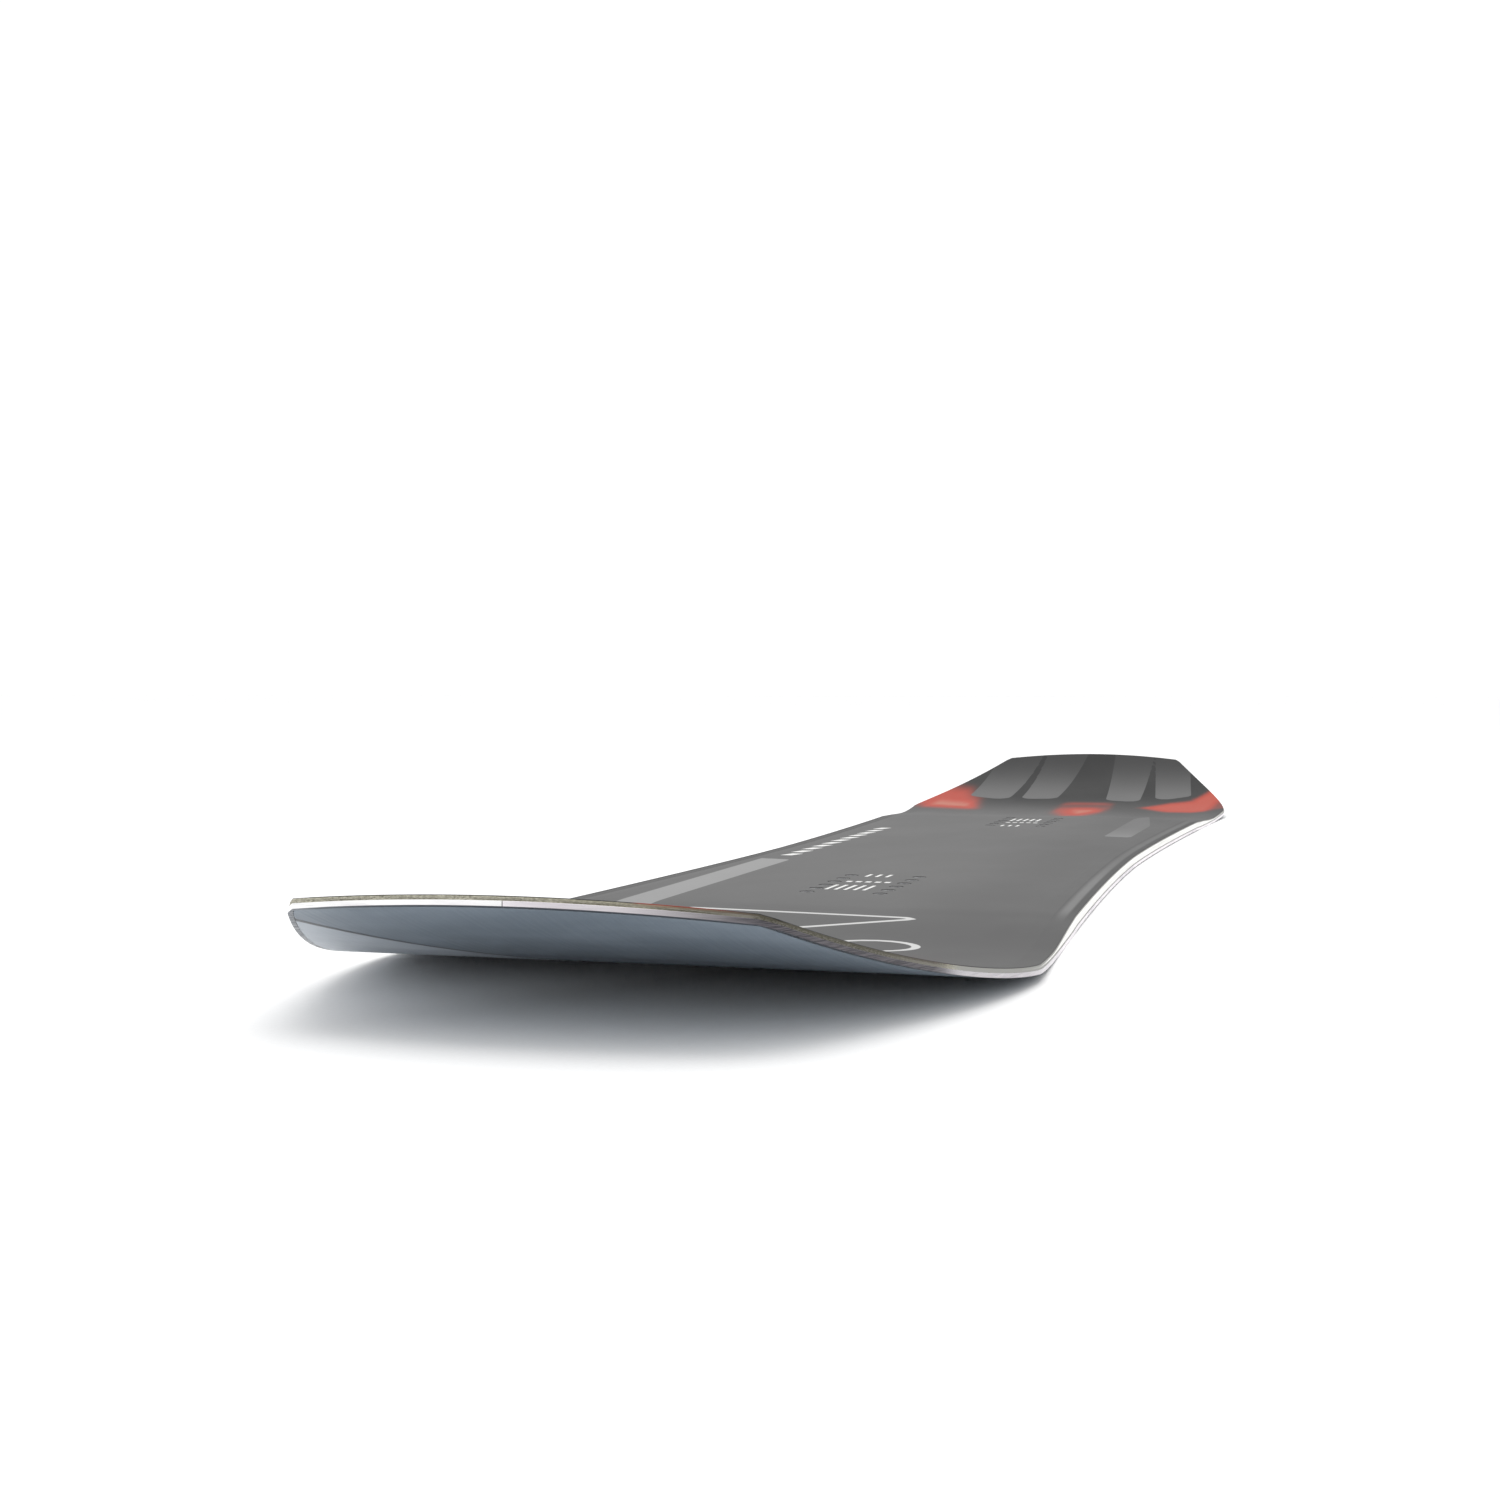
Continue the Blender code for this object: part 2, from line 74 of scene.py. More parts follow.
def linear(hex_colour: str) -> tuple[float, float, float, float]:
    """Turns an sRGB hex colour into linear RGBA.

    Args:
        hex_colour: Six hex digits, with or without a leading hash.

    Returns:
        Linear red, green, blue and an alpha of 1.
    """
    digits = hex_colour.lstrip("#")
    channels = [int(digits[start:start + 2], 16) / 255 for start in (0, 2, 4)]
    decoded = [c / 12.92 if c <= 0.04045 else ((c + 0.055) / 1.055) ** 2.4 for c in channels]
    return (decoded[0], decoded[1], decoded[2], 1.0)


def ease(part: np.ndarray | float) -> np.ndarray:
    """Smooth step from 0 to 1."""
    part = np.clip(part, 0.0, 1.0)
    return part * part * (3 - 2 * part)


def ramp(value: np.ndarray | float, start: float, end: float) -> np.ndarray:
    """Straight ramp from 0 at start to 1 at end."""
    return np.clip((value - start) / (end - start), 0.0, 1.0)


class Side(Enum):
    """Side of the board, for a rider who looks at the tail."""

    LEFT = -1
    RIGHT = 1

    @property
    def word(self) -> str:
        """Name of the side as the frame's nodes spell it."""
        return self.name.lower()


class End(Enum):
    """End of the board."""

    NOSE = -1
    TAIL = 1

    @property
    def word(self) -> str:
        """Name of the end as the frame's nodes spell it."""
        return self.name.lower()


class Slot(Enum):
    """Names of material slots, which the pieces below don't take."""

    TOPSHEET = "topsheet"
    GLASS = "glass_laminate"
    FILLER = "tip_filler"
    BASE_PALE = "base_pale"
    BASE_DARK = "base_dark"
    STEEL = "edge_steel"
    SIDEWALL = "sidewall_plastic"
    INSERT = "insert_steel"


class Graph:
    """Node tree of a material, of the world or of a Geometry Nodes group."""

    def __init__(self, tree: bpy.types.NodeTree) -> None:
        """Keeps the tree and empties it."""
        self.tree = tree
        tree.nodes.clear()

    def add(self, kind: str, inputs: dict | None = None, **settings: object) -> bpy.types.Node:
        """Adds a node with its settings, values and links.

        Args:
            kind: Node type.
            inputs: Values or output sockets by input name or index.
            settings: Properties of the node itself.

        Returns:
            The new node.
        """
        node = self.tree.nodes.new(kind)
        for name, value in settings.items():
            setattr(node, name, value)
        for key, value in (inputs or {}).items():
            if isinstance(value, bpy.types.NodeSocket):
                self.tree.links.new(value, node.inputs[key])
            else:
                node.inputs[key].default_value = value
        return node


@dataclass(frozen=True)
class Grain:
    """Random pattern with cells of a real size.

    Attributes:
        cell: Size of its cells along X, Y and Z, in millimetres.
        detail: Steps of finer grain inside the cells.
        rough: Weight of each finer step.
    """

    cell: tuple[float, float, float]
    detail: float = 2.0
    rough: float = 0.5


@dataclass(frozen=True)
class Rise:
    """Share that rises smoothly with a value, such as that of a pattern.

    Attributes:
        start: Value at which it starts.
        full: Value at which it is full.
        high: The full share.
        low: The share before the start.
        both_ways: Whether the value counts by its size, whichever way it goes.
        unit: What start and full are multiplied by.
    """

    start: float
    full: float
    high: float = 1.0
    low: float = 0.0
    both_ways: bool = False
    unit: float = 1.0


@dataclass(frozen=True)
class Zone(Rise):
    """Share that rises over a distance or a coordinate, given in millimetres."""

    unit: float = MM


@dataclass(frozen=True)
class Patch:
    """Place on the board where a surface is worn, or where painted shade lies on it.

    Attributes:
        across: Its zone in X.
        along: Its zone in Y.
    """

    across: Zone
    along: Zone


SCUFFED_CORNER = Patch(Zone(36, 88), Zone(-632, -652))
TORN_CORNER = Patch(Zone(79, 84), Zone(-656, -694))
# Right part of the nose end, where painted shade lies on the laminates and on the steel.
SHADED_NOSE_END = Patch(Zone(-20, 60), Zone(-716, -728))
DYED_END = Patch(Zone(38, 54), Zone(-716, -728))
# Right flank towards the nose, where painted shade lies on the steel.
SHADED_FLANK = Patch(Zone(60, 100), Zone(-440, -580))


class Surface:
    """A material in the making: its shader, and the patterns that finishes lay on it."""

    def __init__(self, tree: bpy.types.NodeTree, colour: str, roughness: float) -> None:
        """Sets up the plain shader.

        Args:
            tree: The material's node tree.
            colour: Main colour, sRGB.
            roughness: Plain roughness.
        """
        self.graph = Graph(tree)
        self.shader = self.graph.add("ShaderNodeBsdfPrincipled", {
            "Base Color": linear(colour), "Roughness": roughness})
        self.graph.add("ShaderNodeOutputMaterial", {"Surface": self.shader.outputs[0]})
        self.place = self.graph.add("ShaderNodeTexCoord").outputs["Object"]

    def give(self, name: str, socket: Socket) -> None:
        """Links a socket to an input of the shader."""
        self.graph.tree.links.new(socket, self.shader.inputs[name])

    def axis(self, name: str) -> Socket:
        """Place along X, Y or Z in metres."""
        return self.graph.add("ShaderNodeSeparateXYZ", {0: self.place}).outputs[name]

    def carried(self, name: str) -> Socket:
        """Value that the mesh carries from point to point."""
        return self.graph.add("ShaderNodeAttribute", attribute_name=name).outputs["Fac"]

    def grown(self, grain: Grain) -> Socket:
        """Random pattern from 0 to 1 on the object's own coordinates.

        Args:
            grain: Its cells.

        Returns:
            The pattern's value.
        """
        scale = tuple(1 / (size * MM) for size in grain.cell)
        sized = self.graph.add("ShaderNodeMapping", {"Vector": self.place, "Scale": scale})
        made = self.graph.add("ShaderNodeTexNoise", {
            "Vector": sized.outputs[0], "Scale": 1.0, "Detail": grain.detail, "Roughness": grain.rough})
        return made.outputs[0]

    def share(self, value: Socket, rise: Rise) -> Socket:
        """Share that a value has reached of a rise.

        Args:
            value: Value of a pattern, a distance or a coordinate.
            rise: Its limits and the shares at them.

        Returns:
            The share.
        """
        if rise.both_ways:
            value = self.graph.add("ShaderNodeMath", {0: value}, operation="ABSOLUTE").outputs[0]
        mapped = self.graph.add("ShaderNodeMapRange", {
            0: value, 1: rise.start * rise.unit, 2: rise.full * rise.unit, 3: rise.low, 4: rise.high},
            interpolation_type="SMOOTHSTEP")
        return mapped.outputs[0]

    def overlap(self, *shares: Socket | float) -> Socket:
        """Product of shares, full only where all of them are.

        Args:
            shares: Sockets or plain numbers.

        Returns:
            The product.
        """
        product = shares[0]
        for share in shares[1:]:
            factors = {0: product, 1: share}
            product = self.graph.add("ShaderNodeMath", factors, operation="MULTIPLY").outputs[0]
        return product

    def patch(self, patch: Patch) -> Socket:
        """Share that is 1 on a worn place of the board."""
        across = self.share(self.axis("X"), patch.across)
        return self.overlap(across, self.share(self.axis("Y"), patch.along))

    def paint(self, below: Paint, above: Paint, *shares: Socket | float) -> Socket:
        """Lays a colour over another.

        Args:
            below: The colour below, as a socket or as an sRGB hex colour.
            above: The colour above.
            shares: How much of it lies there, multiplied with each other.

        Returns:
            The mixed colour.
        """
        colours = [linear(paint) if isinstance(paint, str) else paint for paint in (below, above)]
        mixer = self.graph.add("ShaderNodeMix", {0: self.overlap(*shares), 6: colours[0], 7: colours[1]},
                               data_type="RGBA")
        return mixer.outputs[2]

    def emboss(self, height: Socket, depth: float) -> None:
        """Bumps the surface by a pattern of this depth in metres."""
        bumped = self.graph.add("ShaderNodeBump", {"Height": height, "Distance": depth})
        self.give("Normal", bumped.outputs[0])


@dataclass(frozen=True)
class Finish:
    """Surface of one real material.

    Attributes:
        name: What the material is and how its surface was made.
        colour: Main colour, sRGB.
        roughness: Middle of its roughness.
        uneven: How much the roughness changes, down and up.
    """

    name: str
    colour: str
    roughness: float
    uneven: Point = (0.0, 0.0)

    def material(self) -> bpy.types.Material:
        """Builds the material once and gives it again when asked.

        Returns:
            The Blender material with its node tree.
        """
        made = bpy.data.materials.get(self.name)
        if made:
            return made
        made = bpy.data.materials.new(self.name)
        made.use_nodes = True
        self.dress(Surface(made.node_tree, self.colour, self.roughness))
        return made

    def dress(self, surface: Surface) -> None:
        """Adds what the real surface shows to the plain shader."""

    def roughen(self, surface: Surface, pattern: Socket) -> None:
        """Lets the roughness follow a pattern, whose values mostly lie between 0.3 and 0.7."""
        low, high = (self.roughness + change for change in self.uneven)
        surface.give("Roughness", surface.share(pattern, Rise(0.3, 0.7, high, low)))


@dataclass(frozen=True)
class PrintedTopsheet(Finish):
    """Polyamide topsheet, dye printed from below and lacquered satin.

    The print reads distances to its shapes that the deck's mesh carries, so that their edges stay
    sharp. The lacquer has the fine orange peel of a pressed film, about 0.7 mm across.
    """

    uneven: Point = (-0.02, 0.02)
    gloss: float = 0.2
    far_colour: str = "141415"
    pale_colour: str = "858585"
    tongue_colour: str = "5C5C5C"
    line_colour: str = "BEBEBD"
    glow_colour: str = "A83A28"
    ember_colour: str = "AE6A59"
    cloud_colour: str = "8E8E8A"
    shade_colour: str = "2C2C2C"
    shine_colour: str = "989898"
    rim_colour: str = "1E1D1C"
    line_half: float = 2.0
    edge_soft: float = 0.25
    peel_depth: float = 0.002 * MM
    cloud: Grain = Grain((120, 260, 120))
    smear: Grain = Grain((60, 120, 60), 3.0)
    peel: Grain = Grain((0.7, 0.7, 0.7), 1.0)
    clouded: Rise = Rise(0.3, 0.7, 0.05)
    glowing: Rise = Rise(0.0, 0.9)
    glow_core: Rise = Rise(0.8, 1.3)
    tail_fade: Zone = Zone(470, 620)
    nose_fade: Zone = Zone(-300, -620, 0.3)
    right_fade: Zone = Zone(10, 90, 0.22)
    stripe_fade: Zone = Zone(20, 270)
    tongue_fade: Zone = Zone(600, 740, 0.8)
    flank: Zone = Zone(400, 335, both_ways=True)
    bevel: Zone = Zone(11.4, 10.8)
    bevel_shade: float = 0.12
    outer_shade: Zone = Zone(5.4, 3.8, 0.52)
    inner_shade: Zone = Zone(7.0, 10.4, 0.34)
    far_shade: Zone = Zone(-240, -20, 0.14)
    left_shade: Zone = Zone(0, -60, 0.34)
    shine_from: Zone = Zone(11.2, 7.6)
    shine_to: Zone = Zone(3.8, 5.8)
    shine_right: Zone = Zone(-60, 0)
    shine_near: Zone = Zone(-20, -240, 0.3, 0.14)
    rim_line: Zone = Zone(1.3, 0.7, 0.6)

    def dress(self, surface: Surface) -> None:
        """Prints ground, shapes, outlines and glows, with painted shade and a painted highlight along the
        rim, then lays the lacquer over them.

        Args:
            surface: The material in the making.
        """
        surface.shader.inputs["Specular IOR Level"].default_value = self.gloss
        soft, line = self.edge_soft, self.line_half
        along = surface.axis("Y")
        pale = surface.paint(self.pale_colour, self.tongue_colour, surface.share(along, self.stripe_fade))
        pale = surface.paint(pale, self.far_colour, surface.share(along, self.tongue_fade))
        shape = surface.carried("pale_print")
        colour = surface.paint(self.ground(surface), pale, surface.share(shape, Zone(soft, -soft)))
        border = Zone(line + soft, line - soft, both_ways=True)
        border = surface.share(surface.carried("outline_print"), border)
        colour = surface.paint(colour, self.line_colour, border)
        glow = surface.carried("glow_print")
        warm = surface.paint(self.glow_colour, self.ember_colour, surface.share(glow, self.glow_core))
        colour = surface.paint(colour, warm, surface.share(glow, self.glowing),
                               surface.share(shape, Zone(-soft, soft)))
        surface.give("Base Color", colour)
        self.roughen(surface, surface.grown(self.smear))
        surface.emboss(surface.grown(self.peel), self.peel_depth)

    def ground(self, surface: Surface) -> Socket:
        """Grey ground of the print.

        It darkens at the tail, and a little at the nose and on the right. Over the bevels of the rim lies
        painted shade, with a band of painted highlight on the right, and a thin line of painted shade runs
        along the rim itself.

        Args:
            surface: The topsheet's surface.

        Returns:
            The ground's colour.
        """
        along, across = surface.axis("Y"), surface.axis("X")
        depth = surface.carried("rim_depth")
        ground = surface.paint(self.colour, self.far_colour, surface.share(along, self.tail_fade))
        cloud = surface.share(surface.grown(self.cloud), self.clouded)
        ground = surface.paint(ground, self.cloud_colour, cloud)
        ground = surface.paint(ground, self.far_colour, surface.share(along, self.nose_fade))
        ground = surface.paint(ground, self.far_colour, surface.share(across, self.right_fade))
        flank = surface.share(along, self.flank)
        add = surface.graph.add
        # Painted shade over the rim's bevels, within about 11 mm of the rim: deeper near the rim and at the
        # inner crease, on the left and away from the nose.
        outer, inner = surface.share(depth, self.outer_shade), surface.share(depth, self.inner_shade)
        rim = add("ShaderNodeMath", {0: outer, 1: inner}, operation="MAXIMUM").outputs[0]
        far, left = surface.share(along, self.far_shade), surface.share(across, self.left_shade)
        side = add("ShaderNodeMath", {0: far, 1: left}, operation="MAXIMUM").outputs[0]
        shade = add("ShaderNodeMath", {0: rim, 1: side}, operation="ADD").outputs[0]
        shade = add("ShaderNodeMath", {0: self.bevel_shade, 1: surface.overlap(flank, shade)},
                    operation="ADD").outputs[0]
        ground = surface.paint(ground, self.shade_colour, surface.share(depth, self.bevel), shade)
        # Painted highlight: a paler band between about 4 and 11 mm from the rim, on the right side, stronger
        # towards the nose.
        ground = surface.paint(ground, self.shine_colour, flank, surface.share(depth, self.shine_from),
                               surface.share(depth, self.shine_to), surface.share(across, self.shine_right),
                               surface.share(along, self.shine_near))
        # Painted shade: a thin dark line within about 1 mm of the rim, along its rounded edge.
        return surface.paint(ground, self.rim_colour, surface.share(depth, self.rim_line))


@dataclass(frozen=True)
class SandedLayers(Finish):
    """Glass fibre, resin and tip filler, sanded flush with the edges.

    The grinding belt leaves the cut ends of the fibre bundles, about 1 mm wide, as a fine speckle,
    light on olive.
    """

    fibre_colour: str = "BAB7A6"
    dirt_colour: str = "4C4A3A"
    dye_colour: str = "A4785F"
    dulled_colour: str = "645F4A"
    scuffed_colour: str = "646159"
    torn_colour: str = "35321F"
    planed_colour: str = "8C8C88"
    dyed: bool = False
    dyed_share: float = 0.75
    dulled_share: float = 0.5
    scuffed_share: float = 0.9
    speckle_depth: float = 0.05 * MM
    fibre_ends: Grain = Grain((1.21, 1.21, 0.33), 3.0, 0.7)
    dust: Grain = Grain((14, 14, 3), 3.0)
    pale_ends: Rise = Rise(0.42, 0.66)
    dark_ends: Rise = Rise(0.5, 0.3)
    dusty: Rise = Rise(0.35, 0.65)
    torn_ends: Rise = Rise(0.62, 0.4, 1.0, 0.35)
    planed: Zone = Zone(642, 630, both_ways=True)

    def dress(self, surface: Surface) -> None:
        """Speckles the resin with fibre ends and dust, paints shade on the right of the nose end, wears the
        nose's right corner and planes the sides.

        Args:
            surface: The material in the making.
        """
        ends = surface.grown(self.fibre_ends)
        dust = surface.share(surface.grown(self.dust), self.dusty)
        colour = surface.paint(self.colour, self.fibre_colour, surface.share(ends, self.pale_ends))
        colour = surface.paint(colour, self.dirt_colour, surface.share(ends, self.dark_ends), dust)
        if self.dyed:
            colour = surface.paint(colour, self.dye_colour, surface.patch(DYED_END), self.dyed_share)
        # Painted shade on the right part of the nose end.
        colour = surface.paint(colour, self.dulled_colour, surface.patch(SHADED_NOSE_END), self.dulled_share)
        colour = surface.paint(colour, self.scuffed_colour, surface.patch(SCUFFED_CORNER), self.scuffed_share)
        colour = surface.paint(colour, self.torn_colour, surface.patch(TORN_CORNER),
                               surface.share(ends, self.torn_ends))
        planed = surface.share(surface.axis("Y"), self.planed)
        surface.give("Base Color", surface.paint(colour, self.planed_colour, planed))
        surface.emboss(ends, self.speckle_depth)


@dataclass(frozen=True)
class GroundSteel(Finish):
    """Hardened carbon steel strip, ground lengthwise.

    It is a bare metal, bright where it faces the light, with fine scratches along the rim and a
    faint blue brown tint from storage. Real scratches are a few hundredths of a millimetre apart
    and are drawn 0.35 mm apart, so that they show.
    """

    uneven: Point = (-0.08, 0.14)
    tint_colour: str = "B9B3BC"
    scratch_colour: str = "8A878D"
    flank_colour: str = "A19FA3"
    dulled_colour: str = "8A878A"
    scuffed_colour: str = "59565A"
    worn_colour: str = "2F2D32"
    under_colour: str = "5A6068"
    flank_share: float = 0.75
    dulled_share: float = 0.6
    scuffed_share: float = 0.92
    scratch_depth: float = 0.02 * MM
    scratches: Grain = Grain((18, 18, 0.35), 3.0, 0.6)
    storage: Grain = Grain((45, 45, 6), 3.0)
    tinted: Rise = Rise(0.45, 0.7, 0.6)
    scratched: Rise = Rise(0.6, 0.75, 0.35)
    scuffed: Rise = Rise(0.42, 0.56)
    facing_down: Rise = Rise(-0.55, -0.85)

    def dress(self, surface: Surface) -> None:
        """Gives the metal its grinding marks, its tint and the wear of the nose's right corner, with painted
        shade on the right of the nose end, on the right flank and on its underside.

        Args:
            surface: The material in the making.
        """
        surface.shader.inputs["Metallic"].default_value = 1.0
        marks = surface.grown(self.scratches)
        tinted = surface.share(surface.grown(self.storage), self.tinted)
        colour = surface.paint(self.colour, self.tint_colour, tinted)
        colour = surface.paint(colour, self.scratch_colour, surface.share(marks, self.scratched))
        # Painted shade on the right flank towards the nose.
        colour = surface.paint(colour, self.flank_colour, surface.patch(SHADED_FLANK), self.flank_share)
        # Painted shade on the right part of the nose end.
        colour = surface.paint(colour, self.dulled_colour, surface.patch(SHADED_NOSE_END), self.dulled_share)
        worn = surface.paint(self.worn_colour, self.scuffed_colour, surface.share(marks, self.scuffed))
        colour = surface.paint(colour, worn, surface.patch(SCUFFED_CORNER), self.scuffed_share)
        # Painted shade: the faces that look down are darkened by their normal.
        normal = surface.graph.add("ShaderNodeTexCoord").outputs["Normal"]
        upward = surface.graph.add("ShaderNodeSeparateXYZ", {0: normal}).outputs["Z"]
        colour = surface.paint(colour, self.under_colour, surface.share(upward, self.facing_down))
        surface.give("Base Color", colour)
        self.roughen(surface, marks)
        surface.emboss(marks, self.scratch_depth)


@dataclass(frozen=True)
class PlanedPlastic(Finish):
    """White ABS sidewall, planed and scraped.

    It is an opaque plastic with a soft sheen and shallow scraper lines along the board.
    """

    uneven: Point = (-0.07, 0.1)
    line_colour: str = "D9D9D4"
    tip_colour: str = "8C8C88"
    line_depth: float = 0.03 * MM
    scraper: Grain = Grain((6, 60, 0.4), 3.0, 0.6)
    scraped: Rise = Rise(0.4, 0.75)
    tip: Zone = Zone(490, 560, both_ways=True)

    def dress(self, surface: Surface) -> None:
        """Draws the scraper lines and paints shade on the ends, where the sidewall meets the tip fillers.

        Args:
            surface: The material in the making.
        """
        lines = surface.grown(self.scraper)
        colour = surface.paint(self.colour, self.line_colour, surface.share(lines, self.scraped))
        # Painted shade: the sidewall greys towards its ends, from 490 mm to 560 mm off the middle.
        tip = surface.share(surface.axis("Y"), self.tip)
        surface.give("Base Color", surface.paint(colour, self.tip_colour, tip))
        self.roughen(surface, lines)
        surface.emboss(lines, self.line_depth)


@dataclass(frozen=True)
class GroundBase(Finish):
    """Sintered polyethylene base, stone ground and waxed.

    The stone leaves straight grooves along the board. Real ones are 0.3 to 0.5 mm apart and are
    drawn about twice as coarse, so that they show. The sintered grain gives a faint cloudiness. It
    is 0.1 to 0.2 mm wide and drawn at 0.8 mm for the same reason.
    """

    uneven: Point = (-0.03, 0.04)
    cloud_colour: str = "9AA4AE"
    seam_colour: str = "2A2F35"
    seam_share: float = 0.9
    groove_depth: float = 0.004 * MM
    cloud: Grain = Grain((60, 22, 60), 4.0, 0.6)
    sinter: Grain = Grain((0.8, 0.8, 0.8))
    grooves: Grain = Grain((0.9, 220, 40))
    clouded: Rise = Rise(0.35, 0.75, 0.5)
    sintered: Rise = Rise(0.45, 0.7, 0.12)
    seam: Zone = Zone(2.4, 1.5, both_ways=True)

    def dress(self, surface: Surface) -> None:
        """Clouds the colour, darkens the seam's line and cuts the grooves.

        Args:
            surface: The material in the making.
        """
        cloud = surface.share(surface.grown(self.cloud), self.clouded)
        sinter = surface.share(surface.grown(self.sinter), self.sintered)
        colour = surface.paint(self.colour, self.cloud_colour, cloud)
        colour = surface.paint(colour, self.cloud_colour, sinter)
        start, normal = BoardForm().seam()
        ahead = surface.graph.add("ShaderNodeVectorMath", {0: surface.place, 1: tuple(normal)},
                                  operation="DOT_PRODUCT").outputs["Value"]
        ahead = surface.graph.add("ShaderNodeMath", {0: ahead, 1: start.dot(normal)},
                                  operation="SUBTRACT").outputs[0]
        seam = surface.share(ahead, self.seam)
        surface.give("Base Color", surface.paint(colour, self.seam_colour, seam, self.seam_share))
        grooves = surface.grown(self.grooves)
        self.roughen(surface, grooves)
        surface.emboss(grooves, self.groove_depth)


@dataclass(frozen=True)
class CalenderedRubber(Finish):
    """Black damping rubber, calendered to a thin strip.

    It is matt, with a fine cloth mark from the rollers.
    """

    mark_colour: str = "2B2B2C"
    mark_depth: float = 0.03 * MM
    cloth: Grain = Grain((0.8, 0.8, 0.8))
    marked: Rise = Rise(0.3, 0.7)

    def dress(self, surface: Surface) -> None:
        """Presses the cloth mark into the rubber.

        Args:
            surface: The material in the making.
        """
        cloth = surface.grown(self.cloth)
        marked = surface.share(cloth, self.marked)
        surface.give("Base Color", surface.paint(self.colour, self.mark_colour, marked))
        surface.emboss(cloth, self.mark_depth)


@dataclass(frozen=True)
class PlanedWood(Finish):
    """Wood strip of the core, planed along the grain.

    The fibres run from nose to tail, and the year rings show as slow bands of darker wood. Pores are
    about 0.1 mm wide and are drawn at 0.5 mm, so that they would show.
    """

    ring_colour: str = "B98D55"
    fibre_depth: float = 0.03 * MM
    rings: Grain = Grain((5, 400, 10))
    fibres: Grain = Grain((0.5, 40, 0.5), 3.0, 0.6)
    dark_rings: Rise = Rise(0.4, 0.62)
    dark_fibres: Rise = Rise(0.5, 0.75, 0.5)

    def dress(self, surface: Surface) -> None:
        """Draws year rings, fibres and pores.

        Args:
            surface: The material in the making.
        """
        fibres = surface.grown(self.fibres)
        rings = surface.share(surface.grown(self.rings), self.dark_rings)
        colour = surface.paint(self.colour, self.ring_colour, rings)
        colour = surface.paint(colour, self.ring_colour, surface.share(fibres, self.dark_fibres))
        surface.give("Base Color", colour)
        surface.emboss(fibres, self.fibre_depth)


@dataclass(frozen=True)
class TurnedSteel(Finish):
    """Stainless insert, turned on a lathe.

    Bright metal with fine rings from the tool that run round each insert. Down in the bore painted shade
    darkens it.
    """

    uneven: Point = (-0.18, 0.0)
    mark_colour: str = "6A6B6E"
    bore_colour: str = "232324"
    tool: Grain = Grain((3, 3, 0.15))
    marked: Rise = Rise(0.35, 0.7)
    bore: Zone = Zone(7.9, 7.4)

    def dress(self, surface: Surface) -> None:
        """Gives the metal its tool marks and paints shade down in the bore.

        Args:
            surface: The material in the making.
        """
        surface.shader.inputs["Metallic"].default_value = 1.0
        marks = surface.grown(self.tool)
        colour = surface.paint(self.colour, self.mark_colour, surface.share(marks, self.marked))
        # Painted shade: everything below 7.9 mm, down in the bore, is darkened.
        bore = surface.share(surface.axis("Z"), self.bore)
        surface.give("Base Color", surface.paint(colour, self.bore_colour, bore))
        self.roughen(surface, marks)


@dataclass(frozen=True)
class ScreenInk(Finish):
    """White two-part ink, screen printed on the topsheet.

    The mesh of the screen leaves it slightly uneven and matt. The mesh has about 0.1 mm to a thread,
    and its thin spots are drawn at 0.4 mm, so that they show.
    """

    thin_colour: str = "8F8F8F"
    spot_depth: float = 0.01 * MM
    spots: Grain = Grain((0.4, 0.4, 0.4))
    thin: Rise = Rise(0.55, 0.8, 0.5)

    def dress(self, surface: Surface) -> None:
        """Leaves small thin spots in the ink.

        Args:
            surface: The material in the making.
        """
        spots = surface.grown(self.spots)
        thin = surface.share(spots, self.thin)
        surface.give("Base Color", surface.paint(self.colour, self.thin_colour, thin))
        surface.emboss(spots, self.spot_depth)


@dataclass(frozen=True)
class StudioPaper(Finish):
    """White background paper, matt.

    The tooth of such paper is about 0.2 mm wide and is drawn at 2 mm, so that it shows.
    """

    tooth_colour: str = "F1F1F1"
    tooth: Grain = Grain((2, 2, 2))
    shaded: Rise = Rise(0.3, 0.7, 0.3)

    def dress(self, surface: Surface) -> None:
        """Gives the paper its faint tooth."""
        tooth = surface.share(surface.grown(self.tooth), self.shaded)
        surface.give("Base Color", surface.paint(self.colour, self.tooth_colour, tooth))


@dataclass(frozen=True)
class Finishes:
    """All finishes of the board and of the studio."""

    topsheet: Finish = PrintedTopsheet("satin lacquered polyamide topsheet", "505050", 0.58)
    glass: Finish = SandedLayers("sanded glass fibre laminate", "928F7E", 0.62)
    dyed_glass: Finish = SandedLayers("sanded upper laminate", "928F7E", 0.62, scuffed_colour="3B352B",
                                      dyed=True)
    filler: Finish = SandedLayers("sanded tip filler", "88857A", 0.66, fibre_colour="ADAA9A")
    steel_left: Finish = GroundSteel("ground steel of the left edge", "F2F2F2", 0.3)
    steel_right: Finish = GroundSteel("ground steel of the right edge", "E9E4E8", 0.3)
    sidewall: Finish = PlanedPlastic("planed white ABS", "EFEFEC", 0.42)
    base_pale: Finish = GroundBase("stone ground pale base", "AEB6BF", 0.4, cloud_colour="C4CBD2")
    base_dark: Finish = GroundBase("stone ground blue grey base", "6E7A86", 0.4, cloud_colour="8C98A4")
    rubber: Finish = CalenderedRubber("calendered damping rubber", "161617", 0.8)
    poplar: Finish = PlanedWood("planed poplar", "D9BF93", 0.6)
    bamboo: Finish = PlanedWood("planed bamboo", "B78B4E", 0.55, ring_colour="8A6132",
                                rings=Grain((2, 400, 4)))
    insert: Finish = TurnedSteel("turned stainless steel", "8A8B8D", 0.4)
    ink: Finish = ScreenInk("screen printed white ink", "DADAD8", 0.55)
    paper: Finish = StudioPaper("white background paper", "FAFAFA", 0.9)


